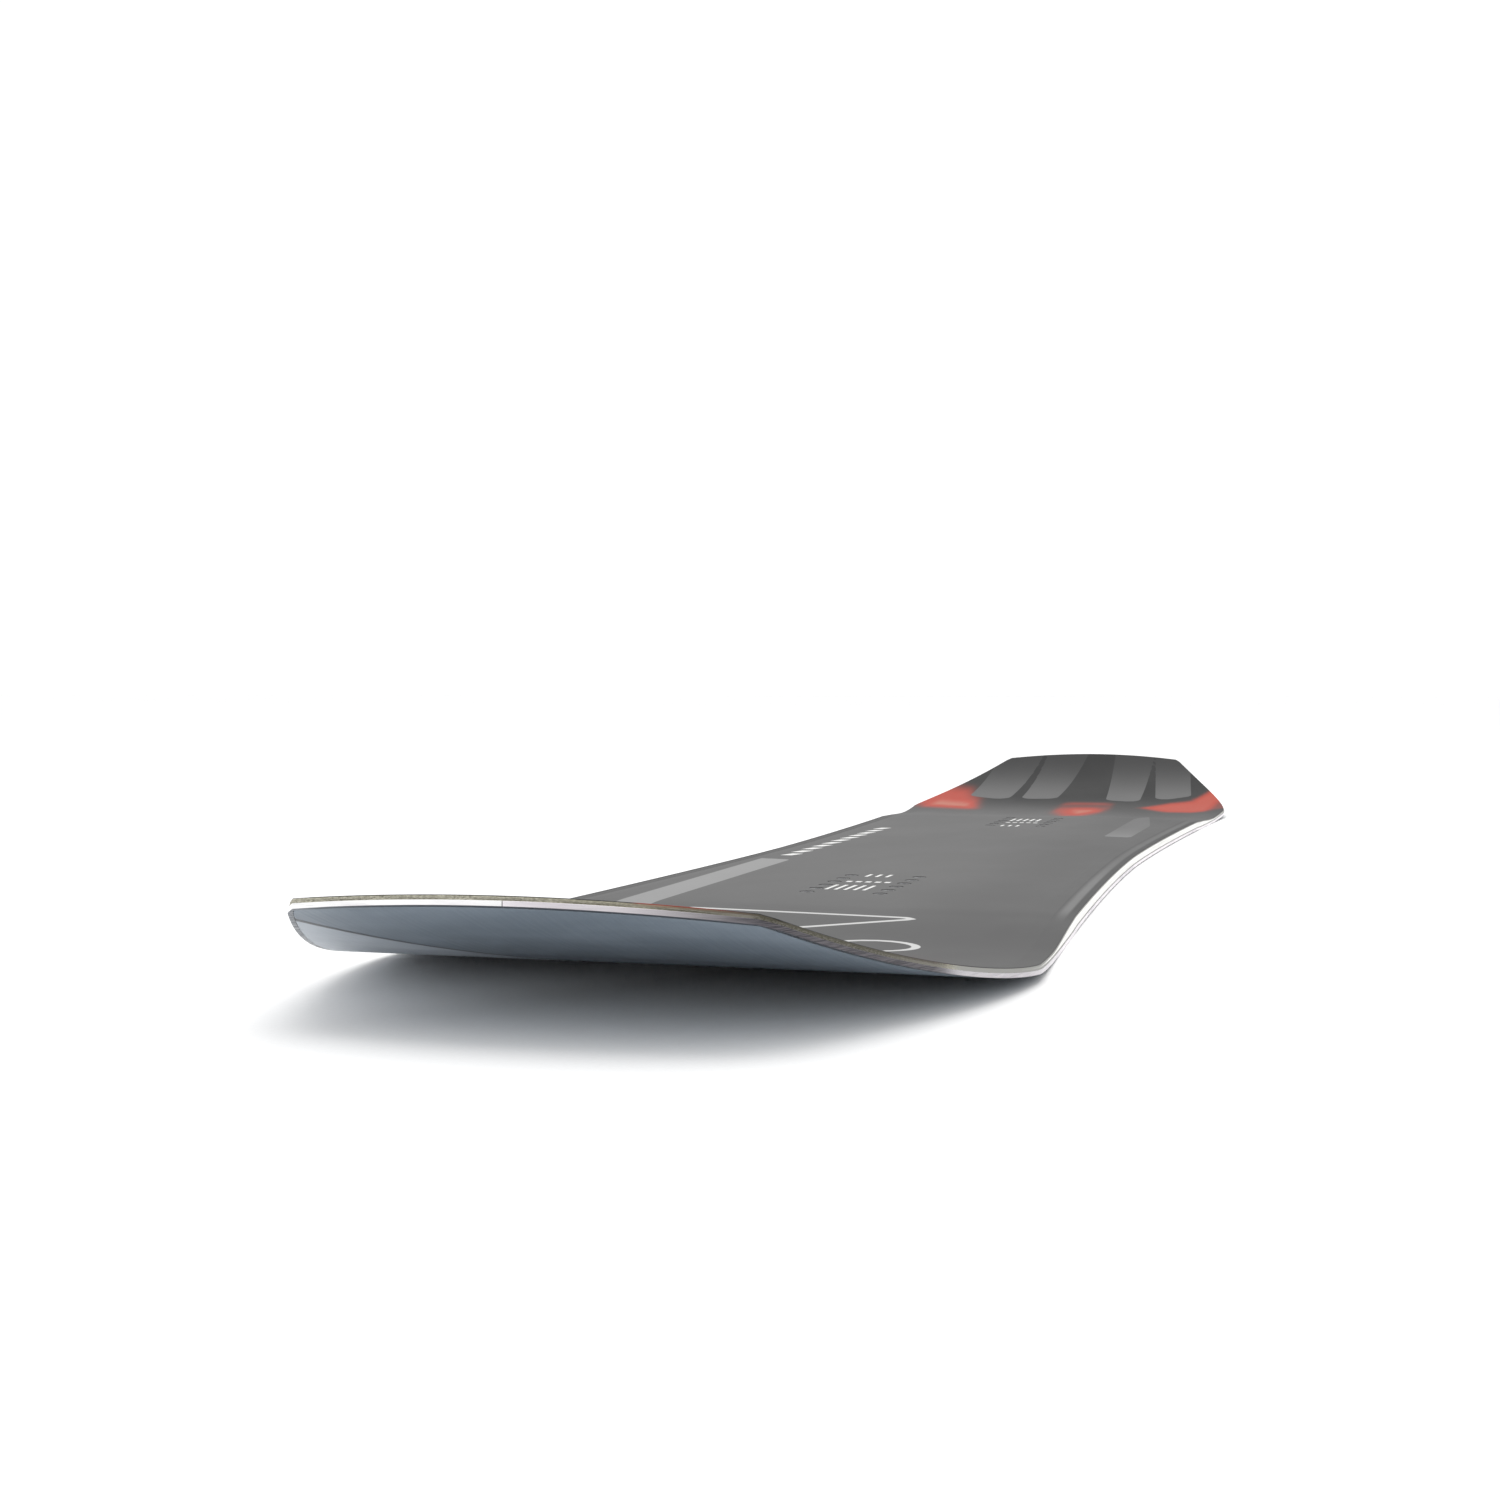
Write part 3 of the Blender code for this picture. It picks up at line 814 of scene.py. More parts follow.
@dataclass(frozen=True)
class BoardForm:
    """The board's laws of outline, side profile and thickness, after the frame's.

    A place on the board is given by its end, its distance from that end's corner line, and its
    inset from the rim, square to it. Heights are over the running surface. Only the camber ends
    more gently than the frame's, over camber_run, so that no crease shows across the deck.
    """

    length: float = 1480 * MM
    end_bow: float = 12.5 * MM
    end_half: float = 85 * MM
    widest_half: float = 143 * MM
    waist_half: float = 122 * MM
    tip_run: float = 196 * MM
    tip_fullness: float = 1.66
    sidecut_power: float = 1.58
    corner_ease: float = 3 * MM
    corner_run: float = 7 * MM
    bow_fade: float = 66 * MM
    squeeze: float = 26 * MM
    tip_rise: float = 42.1 * MM
    kick_start: float = 410 * MM
    kick_power: float = 2.87
    contact_band: float = 20 * MM
    camber: float = 0.5 * MM
    camber_run: float = 27 * MM
    middle_thickness: float = 8.0 * MM
    tip_thickness: float = 3.9 * MM
    taper_start: float = 372 * MM
    taper_end: float = 490 * MM
    bevel_inner: float = 17 * MM
    bevel_middle: float = 11 * MM
    bevel_middle_drop: float = 0.45 * MM
    bevel_outer_drop: float = 1.15 * MM
    tip_joint: float = 165 * MM
    base_sheet: float = 1.1 * MM
    laminate: float = 0.3 * MM
    topsheet: float = 0.35 * MM
    bond: float = 0.15 * MM
    edge_height: float = 1.9 * MM
    edge_bar: float = 2.0 * MM
    edge_reach: float = 6.8 * MM
    edge_flange: float = 0.35 * MM
    edge_step: float = 2.2 * MM
    wall_foot: float = 0.25 * MM
    wall_head: float = 1.0 * MM
    seam_along: float = 16 * MM
    seam_inset: float = 2.4 * MM
    seam_turn: float = 60.0

    @property
    def half(self) -> float:
        """Half the board's length."""
        return self.length / 2

    def seam(self) -> tuple[Vector, Vector]:
        """Start of the seam in the running base, at the nose's left rim, and its level normal.

        Returns:
            The point, and the normal, which points to the tail's side of the seam.
        """
        turn = math.radians(self.seam_turn)
        across = self.rim_x(np.array([self.seam_along]), np.array([self.seam_inset]))[0]
        start = Vector((-across, self.seam_along - self.half, 0.0))
        return start, Vector((-math.sin(turn), math.cos(turn), 0.0))

    def half_width(self, along: np.ndarray) -> np.ndarray:
        """Half the width at distances from the corner line, with sharp corners.

        Args:
            along: Distances from the corner line.

        Returns:
            Half the width at each.
        """
        near = 1 - np.clip(along, 0.0, self.tip_run) / self.tip_run
        tip = self.end_half + (self.widest_half - self.end_half) * (1 - near ** self.tip_fullness)
        away = np.abs(self.half - along) / (self.half - self.tip_run)
        side = self.waist_half + (self.widest_half - self.waist_half) * away ** self.sidecut_power
        return np.where(along < self.tip_run, tip, side)

    def rim_x(self, along: np.ndarray, inset: np.ndarray) -> np.ndarray:
        """Half the width of the outline moved inwards by an inset.

        Args:
            along: Distances from the corner line.
            inset: Distances from the rim, square to it.

        Returns:
            X of the moved outline on the right side.
        """
        step = 0.5 * MM
        slope = (self.half_width(along + step) - self.half_width(along)) / step
        rounding = self.corner_ease * (1 - ramp(along, 0.0, self.corner_run)) ** 2
        rounding = rounding * (1 - ramp(inset, 0.0, self.corner_run))
        return self.half_width(along) - rounding - inset * np.sqrt(1 + slope ** 2)

    def row_y(self, end: np.ndarray, along: np.ndarray, across: np.ndarray) -> np.ndarray:
        """Y of points on rows that bow with the blunt ends.

        Args:
            end: -1 at the nose, 1 at the tail.
            along: Distances from the corner line.
            across: X of the points.

        Returns:
            Y of the points.
        """
        bow = self.end_bow * np.clip(1 - (across / self.end_half) ** 2, 0.0, None)
        fade = 1 - ramp(along, self.bevel_inner, self.bow_fade)
        return end * (self.half - along + bow * fade)

    def base_z(self, y: np.ndarray) -> np.ndarray:
        """Height of the running surface over the snow.

        Args:
            y: Places along the board.

        Returns:
            Height at each.
        """
        reach = np.abs(y)
        rise = np.clip((reach - self.kick_start) / (self.half - self.kick_start), 0.0, None)
        band_start = self.kick_start - self.contact_band
        camber = self.camber * (1 - ease((reach - band_start + self.camber_run) / self.camber_run))
        return self.tip_rise * rise ** self.kick_power + camber

    def deck(self, y: np.ndarray, inset: np.ndarray) -> np.ndarray:
        """Height of the deck, with the two bevels along its rim.

        Args:
            y: Places along the board.
            inset: Distances from the rim.

        Returns:
            Height over the running surface at each.
        """
        reach = np.abs(y)
        taper = 1 - ease(ramp(reach, self.taper_start, self.taper_end))
        thickness = self.tip_thickness + (self.middle_thickness - self.tip_thickness) * taper
        rise = self.bevel_middle_drop - self.bevel_outer_drop
        outer = self.bevel_outer_drop + rise * inset / self.bevel_middle
        inner = self.bevel_middle_drop * (1 - ramp(inset, self.bevel_middle, self.bevel_inner))
        drop = np.where(inset < self.bevel_middle, outer, inner)
        return thickness - drop * taper

    def step_up(self, inset: np.ndarray) -> np.ndarray:
        """How much the layers over the steel edge's flange lie higher than further in."""
        lift = self.edge_height - self.base_sheet
        return lift * (1 - ramp(inset, self.edge_reach, self.edge_reach + self.edge_step))

    def base_roof(self, y: np.ndarray, inset: np.ndarray) -> np.ndarray:
        """Top of the base sheet."""
        return np.full_like(y, self.base_sheet) + 0 * inset

    def running_face(self, y: np.ndarray, inset: np.ndarray) -> np.ndarray:
        """The running surface itself."""
        return np.zeros_like(y) + 0 * inset

    def lower_glass_floor(self, y: np.ndarray, inset: np.ndarray) -> np.ndarray:
        """Foot of the lower laminate, with its resin, level with the top of the steel."""
        return self.base_sheet + self.step_up(inset) + 0 * y

    def core_floor(self, y: np.ndarray, inset: np.ndarray) -> np.ndarray:
        """Foot of the core, where the lower laminate's resin ends."""
        return self.lower_glass_floor(y, inset) + self.bond + self.laminate + self.bond

    def topsheet_floor(self, y: np.ndarray, inset: np.ndarray) -> np.ndarray:
        """Foot of the topsheet."""
        return self.deck(y, inset) - self.topsheet

    def core_roof(self, y: np.ndarray, inset: np.ndarray) -> np.ndarray:
        """Top of the core, where the upper laminate's resin starts."""
        return self.topsheet_floor(y, inset) - self.bond - self.laminate - self.bond

    def wall_inset(self, level: Level, y: np.ndarray) -> np.ndarray:
        """Inset of the rim's sloping face where a layer's surface meets it.

        Args:
            level: Height of the layer's surface.
            y: Places along the board.

        Returns:
            Inset of the sanded face, which runs from the steel to the deck.
        """
        foot = self.edge_height
        head = self.deck(y, np.full_like(y, self.wall_head))
        share = (level(y, np.full_like(y, self.wall_head)) - foot) / (head - foot)
        return self.wall_foot + (self.wall_head - self.wall_foot) * np.clip(share, 0.0, 1.0)


@dataclass(frozen=True)
class Layer:
    """One sheet of the stack, as wide as the board.

    Attributes:
        name: Name of the piece.
        floor: Height of its lower surface.
        roof: Height of its upper surface.
        rings: Insets at which its surfaces bend or are sampled near the rim.
        pitch: Distance between rows along the board.
        columns: Number of columns between the rings of both rims.
        fixed_rim: Inset of its wall, where that isn't the sanded face of the rim.
        soft: Radius of its upper edge.
        joint: Distance from the corner line where it ends, for a layer of one tip only.
        end: The tip that it belongs to, for such a layer.
    """

    name: str
    floor: Level
    roof: Level
    rings: tuple[float, ...]
    pitch: float = 6 * MM
    columns: int = 16
    fixed_rim: float | None = None
    soft: float = 0.0
    joint: float | None = None
    end: End | None = None

    def stations(self) -> tuple[np.ndarray, np.ndarray, np.ndarray]:
        """Rows of the sheet.

        Returns:
            For each row its end, its distance from the corner line, and its index among the rim's
            own rows, or -1 where it is a common row.
        """
        form = BoardForm()
        last = self.joint or form.half
        inner = max(self.rings) + 1 * MM
        steps = max(2, round((last - inner) / self.pitch))
        near = [(0.0, index) for index in range(len(self.edge_offsets()))]
        near += [(ring, -1) for ring in self.rings]
        near += [(inner + (last - inner) * step / steps, -1) for step in range(steps + 1)]
        if self.end is not None:
            rows = [(self.end.value, along, index) for along, index in near]
            rows = rows if self.end is End.NOSE else rows[::-1]
        else:
            rows = [(-1, along, index) for along, index in near]
            rows += [(1, along, index) for along, index in reversed(near[:-1])]
        ends, alongs, indices = zip(*rows)
        return np.array(ends, float), np.array(alongs), np.array(indices)

    def edge_offsets(self) -> tuple[float, ...]:
        """Distances from the wall of the rows and columns that round its upper edge."""
        return tuple(self.soft * share for share in (0.0, 0.3, 1.0)) if self.soft else (0.0,)

    def surface(self, level: Level, rounded: bool) -> np.ndarray:
        """Grid of points of one surface.

        Args:
            level: Its height.
            rounded: Whether its edge is rounded down to the wall.

        Returns:
            Points by row and column.
        """
        form = BoardForm()
        ends, alongs, indices = self.stations()
        offsets = np.array(self.edge_offsets())
        middle = ends * (form.half - alongs)
        wall = (np.full_like(middle, self.fixed_rim) if self.fixed_rim is not None
                else form.wall_inset(level, middle))
        alongs = np.where(indices >= 0, wall + offsets[np.maximum(indices, 0)], alongs)
        insets = [wall + offset for offset in offsets] + [np.full_like(wall, ring) for ring in self.rings]
        sides = [form.rim_x(alongs, inset) for inset in insets]
        inner = sides[-1]
        shares = np.linspace(-1.0, 1.0, self.columns + 2)[1:-1]
        across = [-x for x in sides] + [share * inner for share in shares] + sides[::-1]
        deep = [np.full_like(wall, form.waist_half)] * len(shares)
        across_grid = np.stack(across, axis=1)
        inset_grid = np.stack(insets + deep + insets[::-1], axis=1)
        along_grid = alongs[:, None] + 0 * across_grid
        y = form.row_y(ends[:, None], along_grid, across_grid)
        depth = np.minimum(inset_grid, along_grid)
        z = form.base_z(y) + level(y, depth)
        if rounded and self.soft:
            gap = np.clip(self.soft - (depth - wall[:, None]), 0.0, self.soft)
            z = z - (self.soft - np.sqrt(np.clip(self.soft ** 2 - gap ** 2, 0.0, None)))
        return np.stack((across_grid, y, z), axis=2)

    def mesh(self) -> bpy.types.Mesh:
        """Closed mesh between the sheet's two surfaces."""
        return closed_between(self.name, self.surface(self.floor, False), self.surface(self.roof, True))


def closed_between(name: str, low: np.ndarray, high: np.ndarray) -> bpy.types.Mesh:
    """Closed mesh between two grids with the same rows and columns.

    Args:
        name: Name of the mesh.
        low: Points of the lower surface, by row and column.
        high: Points of the upper surface.

    Returns:
        The mesh, with its faces turned outwards.
    """
    rows, columns = low.shape[:2]
    index = np.arange(rows * columns).reshape(rows, columns)
    here, beside = index[:-1, :-1].ravel(), index[:-1, 1:].ravel()
    across, ahead = index[1:, 1:].ravel(), index[1:, :-1].ravel()
    under = np.stack((here, ahead, across, beside), axis=1)
    over = np.stack((here, beside, across, ahead), axis=1) + rows * columns
    border = np.concatenate((index[0, :], index[1:, -1], index[-1, -2::-1], index[-2:0:-1, 0]))
    after = np.roll(border, -1)
    walls = np.stack((border, after, after + rows * columns, border + rows * columns), axis=1)
    points = np.concatenate((low.reshape(-1, 3), high.reshape(-1, 3)))
    mesh = bpy.data.meshes.new(name)
    mesh.from_pydata(points.tolist(), [], np.concatenate((under, over, walls)).tolist())
    return mesh


def swept(name: str, sections: np.ndarray) -> bpy.types.Mesh:
    """Closed mesh through a row of closed sections.

    Args:
        name: Name of the mesh.
        sections: Points by section and corner.

    Returns:
        The mesh.
    """
    count, corners = sections.shape[:2]
    index = np.arange(count * corners).reshape(count, corners)
    turned = np.roll(index, -1, axis=1)
    faces = np.stack((index[:-1], index[1:], turned[1:], turned[:-1]), axis=2).reshape(-1, 4).tolist()
    faces += [list(range(corners)), list(range(count * corners - 1, (count - 1) * corners - 1, -1))]
    mesh = bpy.data.meshes.new(name)
    mesh.from_pydata(sections.reshape(-1, 3).tolist(), [], faces)
    return mesh


def finished(name: str, mesh: bpy.types.Mesh, finish: Finish, nodes: Sequence[str] = (),
             sharp_angle: float = 35.0) -> bpy.types.Object:
    """Turns a mesh into a finished piece of the board.

    Args:
        name: Name of the piece.
        mesh: Its mesh, in place.
        finish: Its finish.
        nodes: CAD nodes that it stands for.
        sharp_angle: Edges sharper than this many degrees aren't shaded smooth.

    Returns:
        The piece.
    """
    shape = bmesh.new()
    shape.from_mesh(mesh)
    bmesh.ops.recalc_face_normals(shape, faces=shape.faces)
    shape.to_mesh(mesh)
    shape.free()
    mesh.materials.clear()
    mesh.materials.append(finish.material())
    mesh.shade_smooth()
    mesh.set_sharp_from_angle(angle=math.radians(sharp_angle))
    piece = bpy.data.objects.new(name, mesh)
    bpy.context.scene.collection.objects.link(piece)
    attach(piece, BODY)
    if nodes:
        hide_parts(*nodes)
    log.info("%s: %d faces, %s", name, len(mesh.polygons), finish.name)
    return piece


@dataclass(frozen=True)
class PrintShape:
    """Flat printed shape with straight sides, in plan.

    Attributes:
        corners: Its corners in millimetres.
        rounding: Radius of its corners in millimetres.
    """

    corners: tuple[Point, ...]
    rounding: float = 0.0

    def distance(self, places: np.ndarray) -> np.ndarray:
        """Signed distance from points to the shape, negative inside.

        Args:
            places: X and Y of the points in metres.

        Returns:
            Distances in metres.
        """
        corners = np.array(self.corners) * MM
        best = np.full(len(places), np.inf)
        inside = np.zeros(len(places), bool)
        for start, stop in zip(corners, np.roll(corners, -1, axis=0)):
            edge = stop - start
            reach = places - start
            share = np.clip(reach @ edge / (edge @ edge), 0.0, 1.0)
            best = np.minimum(best, np.linalg.norm(reach - share[:, None] * edge, axis=1))
            crosses = (start[1] > places[:, 1]) != (stop[1] > places[:, 1])
            rise = edge[1] if edge[1] else 1.0
            meets = start[0] + edge[0] * (places[:, 1] - start[1]) / rise
            inside ^= crosses & (places[:, 0] < meets)
        return np.where(inside, -best, best) - self.rounding * MM


@dataclass(frozen=True)
class Glow:
    """Soft patch of warm colour in the print.

    Attributes:
        corners: Corners of the patch in millimetres.
        soft: Half the width of its soft border across the board, in millimetres.
        stretch: How many times softer the border is along the board.
        strength: Weight inside the patch.
    """

    corners: tuple[Point, ...]
    soft: float
    stretch: float
    strength: float

    def weight(self, places: np.ndarray) -> np.ndarray:
        """Weight of the glow at points given in metres.

        Args:
            places: X and Y of the points in metres.

        Returns:
            Weight at each point.
        """
        squeezed = PrintShape(tuple((x, y / self.stretch) for x, y in self.corners))
        distance = squeezed.distance(places / (1.0, self.stretch))
        return self.strength * ease(0.5 - distance / (2 * self.soft * MM))


@dataclass
class InsertOpenings:
    """Round openings over the inserts, through the topsheet and the upper laminate."""

    finishes: Finishes
    form: BoardForm = field(default_factory=BoardForm)
    radius: float = 4.1 * MM
    sides: int = 40
    depth: float = 4 * MM

    def cut(self, mesh: bpy.types.Mesh) -> bpy.types.Mesh:
        """Cuts a round opening over every insert.

        Args:
            mesh: Closed mesh of a layer above the core.

        Returns:
            A new mesh with the openings.
        """
        shape = bmesh.new()
        for pack in InsertPack.both(self.finishes):
            for x, y in pack.places():
                middle = Matrix.Translation((x, y, self.form.camber + self.form.middle_thickness))
                bmesh.ops.create_cone(shape, cap_ends=True, segments=self.sides,
                                      radius1=self.radius, radius2=self.radius,
                                      depth=self.depth, matrix=middle)
        drills = bpy.data.meshes.new("drills")
        shape.to_mesh(drills)
        shape.free()
        board = bpy.data.objects.new("layer_blank", mesh)
        tool = bpy.data.objects.new("drills", drills)
        for made in (board, tool):
            bpy.context.scene.collection.objects.link(made)
        modifier = board.modifiers.new("openings", "BOOLEAN")
        modifier.operation = "DIFFERENCE"
        modifier.solver = "EXACT"
        modifier.object = tool
        graph = bpy.context.evaluated_depsgraph_get()
        opened = bpy.data.meshes.new_from_object(board.evaluated_get(graph))
        for made in (board, tool):
            bpy.data.objects.remove(made)
        return opened


@dataclass
class PrintedDeck:
    """The topsheet with its print and the round openings over the inserts.

    Its rows and columns lie closer than those of the layers below, and closest where the bevels
    bend, so that light runs evenly over it. The rings are insets from the rim in millimetres.
    """

    finishes: Finishes
    form: BoardForm = field(default_factory=BoardForm)
    rings: tuple[float, ...] = (4, 6, 8.5, 10.5, 11, 11.5, 14, 16.5, 17, 17.5, 20)
    pitch: float = 4 * MM
    columns: int = 34
    soft: float = 0.25 * MM
    sharp_angle: float = 20.0
    blunt_steps: int = 9
    corner_rows: int = 8
    corner_reach: float = 30 * MM
    side_rows: int = 60
    side_start: float = 40 * MM
    pale_shapes: tuple[PrintShape, ...] = (
        PrintShape(((-75, -762), (-96, -762), (-104.1, -98.5), (-83.8, -104.5))),
        PrintShape(((81.7, 161), (101.5, 154.5), (102.5, 286), (80.6, 500))),
        PrintShape(((-90, 613), (-72, 604), (-60, 780), (-82, 780)), 11),
        PrintShape(((-40, 605), (-26, 607), (-14, 780), (-36, 780)), 10),
        PrintShape(((40, 602), (52, 599), (50, 780), (30, 780)), 10),
        PrintShape(((84, 612), (98, 624), (84, 780), (68, 780)), 9),
    )
    outline_shapes: tuple[PrintShape, ...] = (
        PrintShape(((-58, -388), (56, -399.5), (60, -404), (14, -437), (-32, -452), (-70, -424))),
        PrintShape(((57.5, -490), (58, -490), (58, -489.5)), 21.5),
    )
    glows: tuple[Glow, ...] = (
        Glow(((-160, 575), (-132, 536), (-80, 524), (-90, 590), (-107, 640), (-130, 650)), 11, 3, 0.78),
        Glow(((-128, 548), (-88, 532), (-94, 560), (-124, 575)), 10, 3, 0.6),
        Glow(((-6, 545), (-6, 510), (10, 450), (24, 460), (36, 515), (38, 545)), 8, 6, 0.76),
        Glow(((6, 535), (16, 490), (30, 520), (28, 538)), 5, 5, 0.55),
        Glow(((-4, 566), (38, 568), (36, 578), (-2, 578)), 5, 3, 0.5),
        Glow(((68, 551), (92, 522), (116, 522), (150, 560), (150, 690), (124, 645), (109, 594), (92, 582)),
             5, 3, 0.92),
        Glow(((128, 540), (160, 540), (160, 640), (134, 600)), 5, 3, -0.55),
        Glow(((44, -770), (100, -770), (98, -738), (44, -747)), 1, 1, 0.5),
        Glow(((88, -700), (130, -660), (118, -590), (84, -520), (80, -560)), 14, 2, 0.12),
    )

    def build(self) -> bpy.types.Object:
        """Builds the topsheet, opens it over the inserts and prints it.

        Returns:
            The topsheet.
        """
        rings = tuple(value * MM for value in self.rings)
        layer = Layer("topsheet", self.form.topsheet_floor, self.form.deck, rings, pitch=self.pitch,
                      columns=self.columns, soft=self.soft)
        mesh = InsertOpenings(self.finishes).cut(layer.mesh())
        self.print_on(mesh)
        return finished("printed_topsheet", mesh, self.finishes.topsheet, ("topsheet",),
                        sharp_angle=self.sharp_angle)

    def print_on(self, mesh: bpy.types.Mesh) -> None:
        """Writes the distances and weights that the print reads onto the mesh.

        Args:
            mesh: The topsheet's mesh.
        """
        points = np.empty(len(mesh.vertices) * 3)
        mesh.vertices.foreach_get("co", points)
        places = points.reshape(-1, 3)[:, :2]
        values = {
            "pale_print": np.min([shape.distance(places) for shape in self.pale_shapes], axis=0),
            "outline_print": self.nearest_border([shape.distance(places) for shape in self.outline_shapes]),
            "glow_print": np.sum([glow.weight(places) for glow in self.glows], axis=0),
            "rim_depth": -self.outline().distance(places),
        }
        for name, value in values.items():
            mesh.attributes.new(name, "FLOAT", "POINT").data.foreach_set("value", value.astype(np.float32))

    def nearest_border(self, distances: list[np.ndarray]) -> np.ndarray:
        """Of several signed distances the one that is nearest to 0, point by point."""
        stacked = np.stack(distances)
        return np.take_along_axis(stacked, np.argmin(np.abs(stacked), axis=0)[None], axis=0)[0]

    def outline(self) -> PrintShape:
        """Outline of the board in plan.

        Returns:
            The outline as a shape.
        """
        corner = np.linspace(0.0, self.corner_reach, self.corner_rows)
        along = np.concatenate((corner, np.linspace(self.side_start, self.form.half, self.side_rows)[:-1]))
        across = self.form.rim_x(along, np.zeros_like(along))
        blunt = np.linspace(0.0, 1.0, self.blunt_steps)[1:-1] * across[0]
        x = np.concatenate((blunt, across))
        y = np.concatenate((self.form.row_y(1.0, 0 * blunt, blunt), self.form.row_y(1.0, along, across)))
        quarter = list(zip(x / MM, y / MM))
        right = quarter + [(u, -v) for u, v in reversed(quarter)]
        return PrintShape(tuple(right + [(-u, v) for u, v in reversed(right)]))


@dataclass
class RunningBase:
    """The running base in two colours that meet along a slanted seam under the nose.

    The rings are insets from the rim in millimetres.
    """

    finishes: Finishes
    form: BoardForm = field(default_factory=BoardForm)
    seam_gap: float = 0.15 * MM
    rings: tuple[float, ...] = (2.6, 6, 11, 17)

    def build(self) -> list[bpy.types.Object]:
        """Builds both parts of the base.

        Returns:
            The pale part and the nose panel.
        """
        rim = self.form.edge_bar + self.form.bond
        rings = tuple(value * MM for value in self.rings)
        pieces = []
        for name, node, keep, finish, slot in (
                ("ground_base", "base_sheet", 1, self.finishes.base_pale, Slot.BASE_PALE),
                ("ground_nose_panel", "base_nose_panel", -1, self.finishes.base_dark, Slot.BASE_DARK)):
            layer = Layer(name, self.form.running_face, self.form.base_roof, rings, fixed_rim=rim)
            mesh = self.cut_at_seam(layer.mesh(), keep)
            pieces.append(finished(name, mesh, finish, (node,)))
        return pieces

    def cut_at_seam(self, mesh: bpy.types.Mesh, keep: int) -> bpy.types.Mesh:
        """Keeps what lies on one side of the seam.

        Args:
            mesh: Mesh of the whole base.
            keep: 1 for the tail's side of the seam, -1 for the nose panel.

        Returns:
            The same mesh, cut and closed.
        """
        start, normal = self.form.seam()
        point = start + normal * keep * self.seam_gap / 2
        shape = bmesh.new()
        shape.from_mesh(mesh)
        everything = list(shape.verts) + list(shape.edges) + list(shape.faces)
        cut = bmesh.ops.bisect_plane(shape, geom=everything, dist=1e-8, plane_co=point, plane_no=normal,
                                     clear_inner=keep > 0, clear_outer=keep < 0)
        rim = [item for item in cut["geom_cut"] if isinstance(item, bmesh.types.BMEdge)]
        bmesh.ops.holes_fill(shape, edges=rim, sides=0)
        shape.to_mesh(mesh)
        shape.free()
        return mesh


@dataclass
class Laminates:
    """Both glass fibre laminates and the fillers of the tips, sanded to one face at the rim."""

    finishes: Finishes
    form: BoardForm = field(default_factory=BoardForm)
    lower_ring: float = 3 * MM
    upper_ring: float = 4 * MM

    def build(self) -> list[bpy.types.Object]:
        """Builds the laminates and the fillers.

        Returns:
            The laminates and the fillers.
        """
        form = self.form
        reach = form.edge_reach
        flange = (self.lower_ring, reach, reach + form.edge_step / 2, reach + form.edge_step)
        bevels = (self.upper_ring, form.bevel_middle, form.bevel_inner)
        lower = Layer("lower", form.lower_glass_floor, form.core_floor, flange, columns=4)
        upper = Layer("upper", form.core_roof, form.topsheet_floor, bevels, columns=8)
        opened = InsertOpenings(self.finishes).cut(upper.mesh())
        pieces = [finished("sanded_lower_laminate", lower.mesh(), self.finishes.glass,
                           ("lower_laminate",)),
                  finished("sanded_upper_laminate", opened, self.finishes.dyed_glass,
                           ("upper_laminate",))]
        for end in End:
            filler = Layer(f"{end.word}_filler", form.core_floor, form.core_roof, flange, columns=8,
                           joint=form.tip_joint - form.bond / 2, end=end)
            pieces.append(finished(f"sanded_{end.word}_filler", filler.mesh(), self.finishes.filler,
                                   (f"{end.word}_filler",)))
        return pieces


@dataclass
class RimPath:
    """Stations round one half of the rim, from the middle of the nose to the middle of the tail."""

    form: BoardForm = field(default_factory=BoardForm)
    end_steps: int = 24
    corner_rows: int = 8
    squeezed_rows: int = 7
    squeezed_start: float = 9 * MM
    pitch: float = 5 * MM

    def sections(self, corners: Sequence[Point], side: Side) -> np.ndarray:
        """Sections of a strip that follows the rim.

        Args:
            corners: Inset and height over the base of each corner of the strip's section.
            side: The half of the rim.

        Returns:
            Points by station and corner.
        """
        form = self.form
        columns = []
        for inset, height in corners:
            ends, alongs, across = self.stations(inset)
            y = form.row_y(ends, alongs, across)
            columns.append(np.stack((side.value * across, y, form.base_z(y) + height), axis=1))
        return np.stack(columns, axis=1)

    def stations(self, inset: float) -> tuple[np.ndarray, np.ndarray, np.ndarray]:
        """Stations of a line that lies inside the rim by an inset.

        Args:
            inset: Distance from the rim.

        Returns:
            End, distance from the corner line and X of each station.
        """
        form = self.form
        corner = form.rim_x(np.array([inset]), np.array([form.bevel_inner]))[0]
        blunt = np.maximum(form.bond, np.linspace(0.0, 1.0, self.end_steps) * corner)
        fine = np.concatenate((np.linspace(0.0, form.corner_run, self.corner_rows),
                               np.linspace(self.squeezed_start, form.squeeze, self.squeezed_rows)))
        steps = round((form.half - form.squeeze) / self.pitch)
        rows = np.concatenate((fine, np.linspace(form.squeeze, form.half, steps + 1)[1:]))
        squeezed = inset + (form.squeeze - inset) * rows / form.squeeze
        rows = np.where(rows < form.squeeze, squeezed, rows)
        across = np.concatenate((blunt, form.rim_x(rows, np.full_like(rows, inset))))
        along = np.concatenate((np.full_like(blunt, inset), rows))
        ends = np.concatenate((np.full_like(along, -1.0), np.full_like(along[:-1], 1.0)))
        return ends, np.concatenate((along, along[-2::-1])), np.concatenate((across, across[-2::-1]))


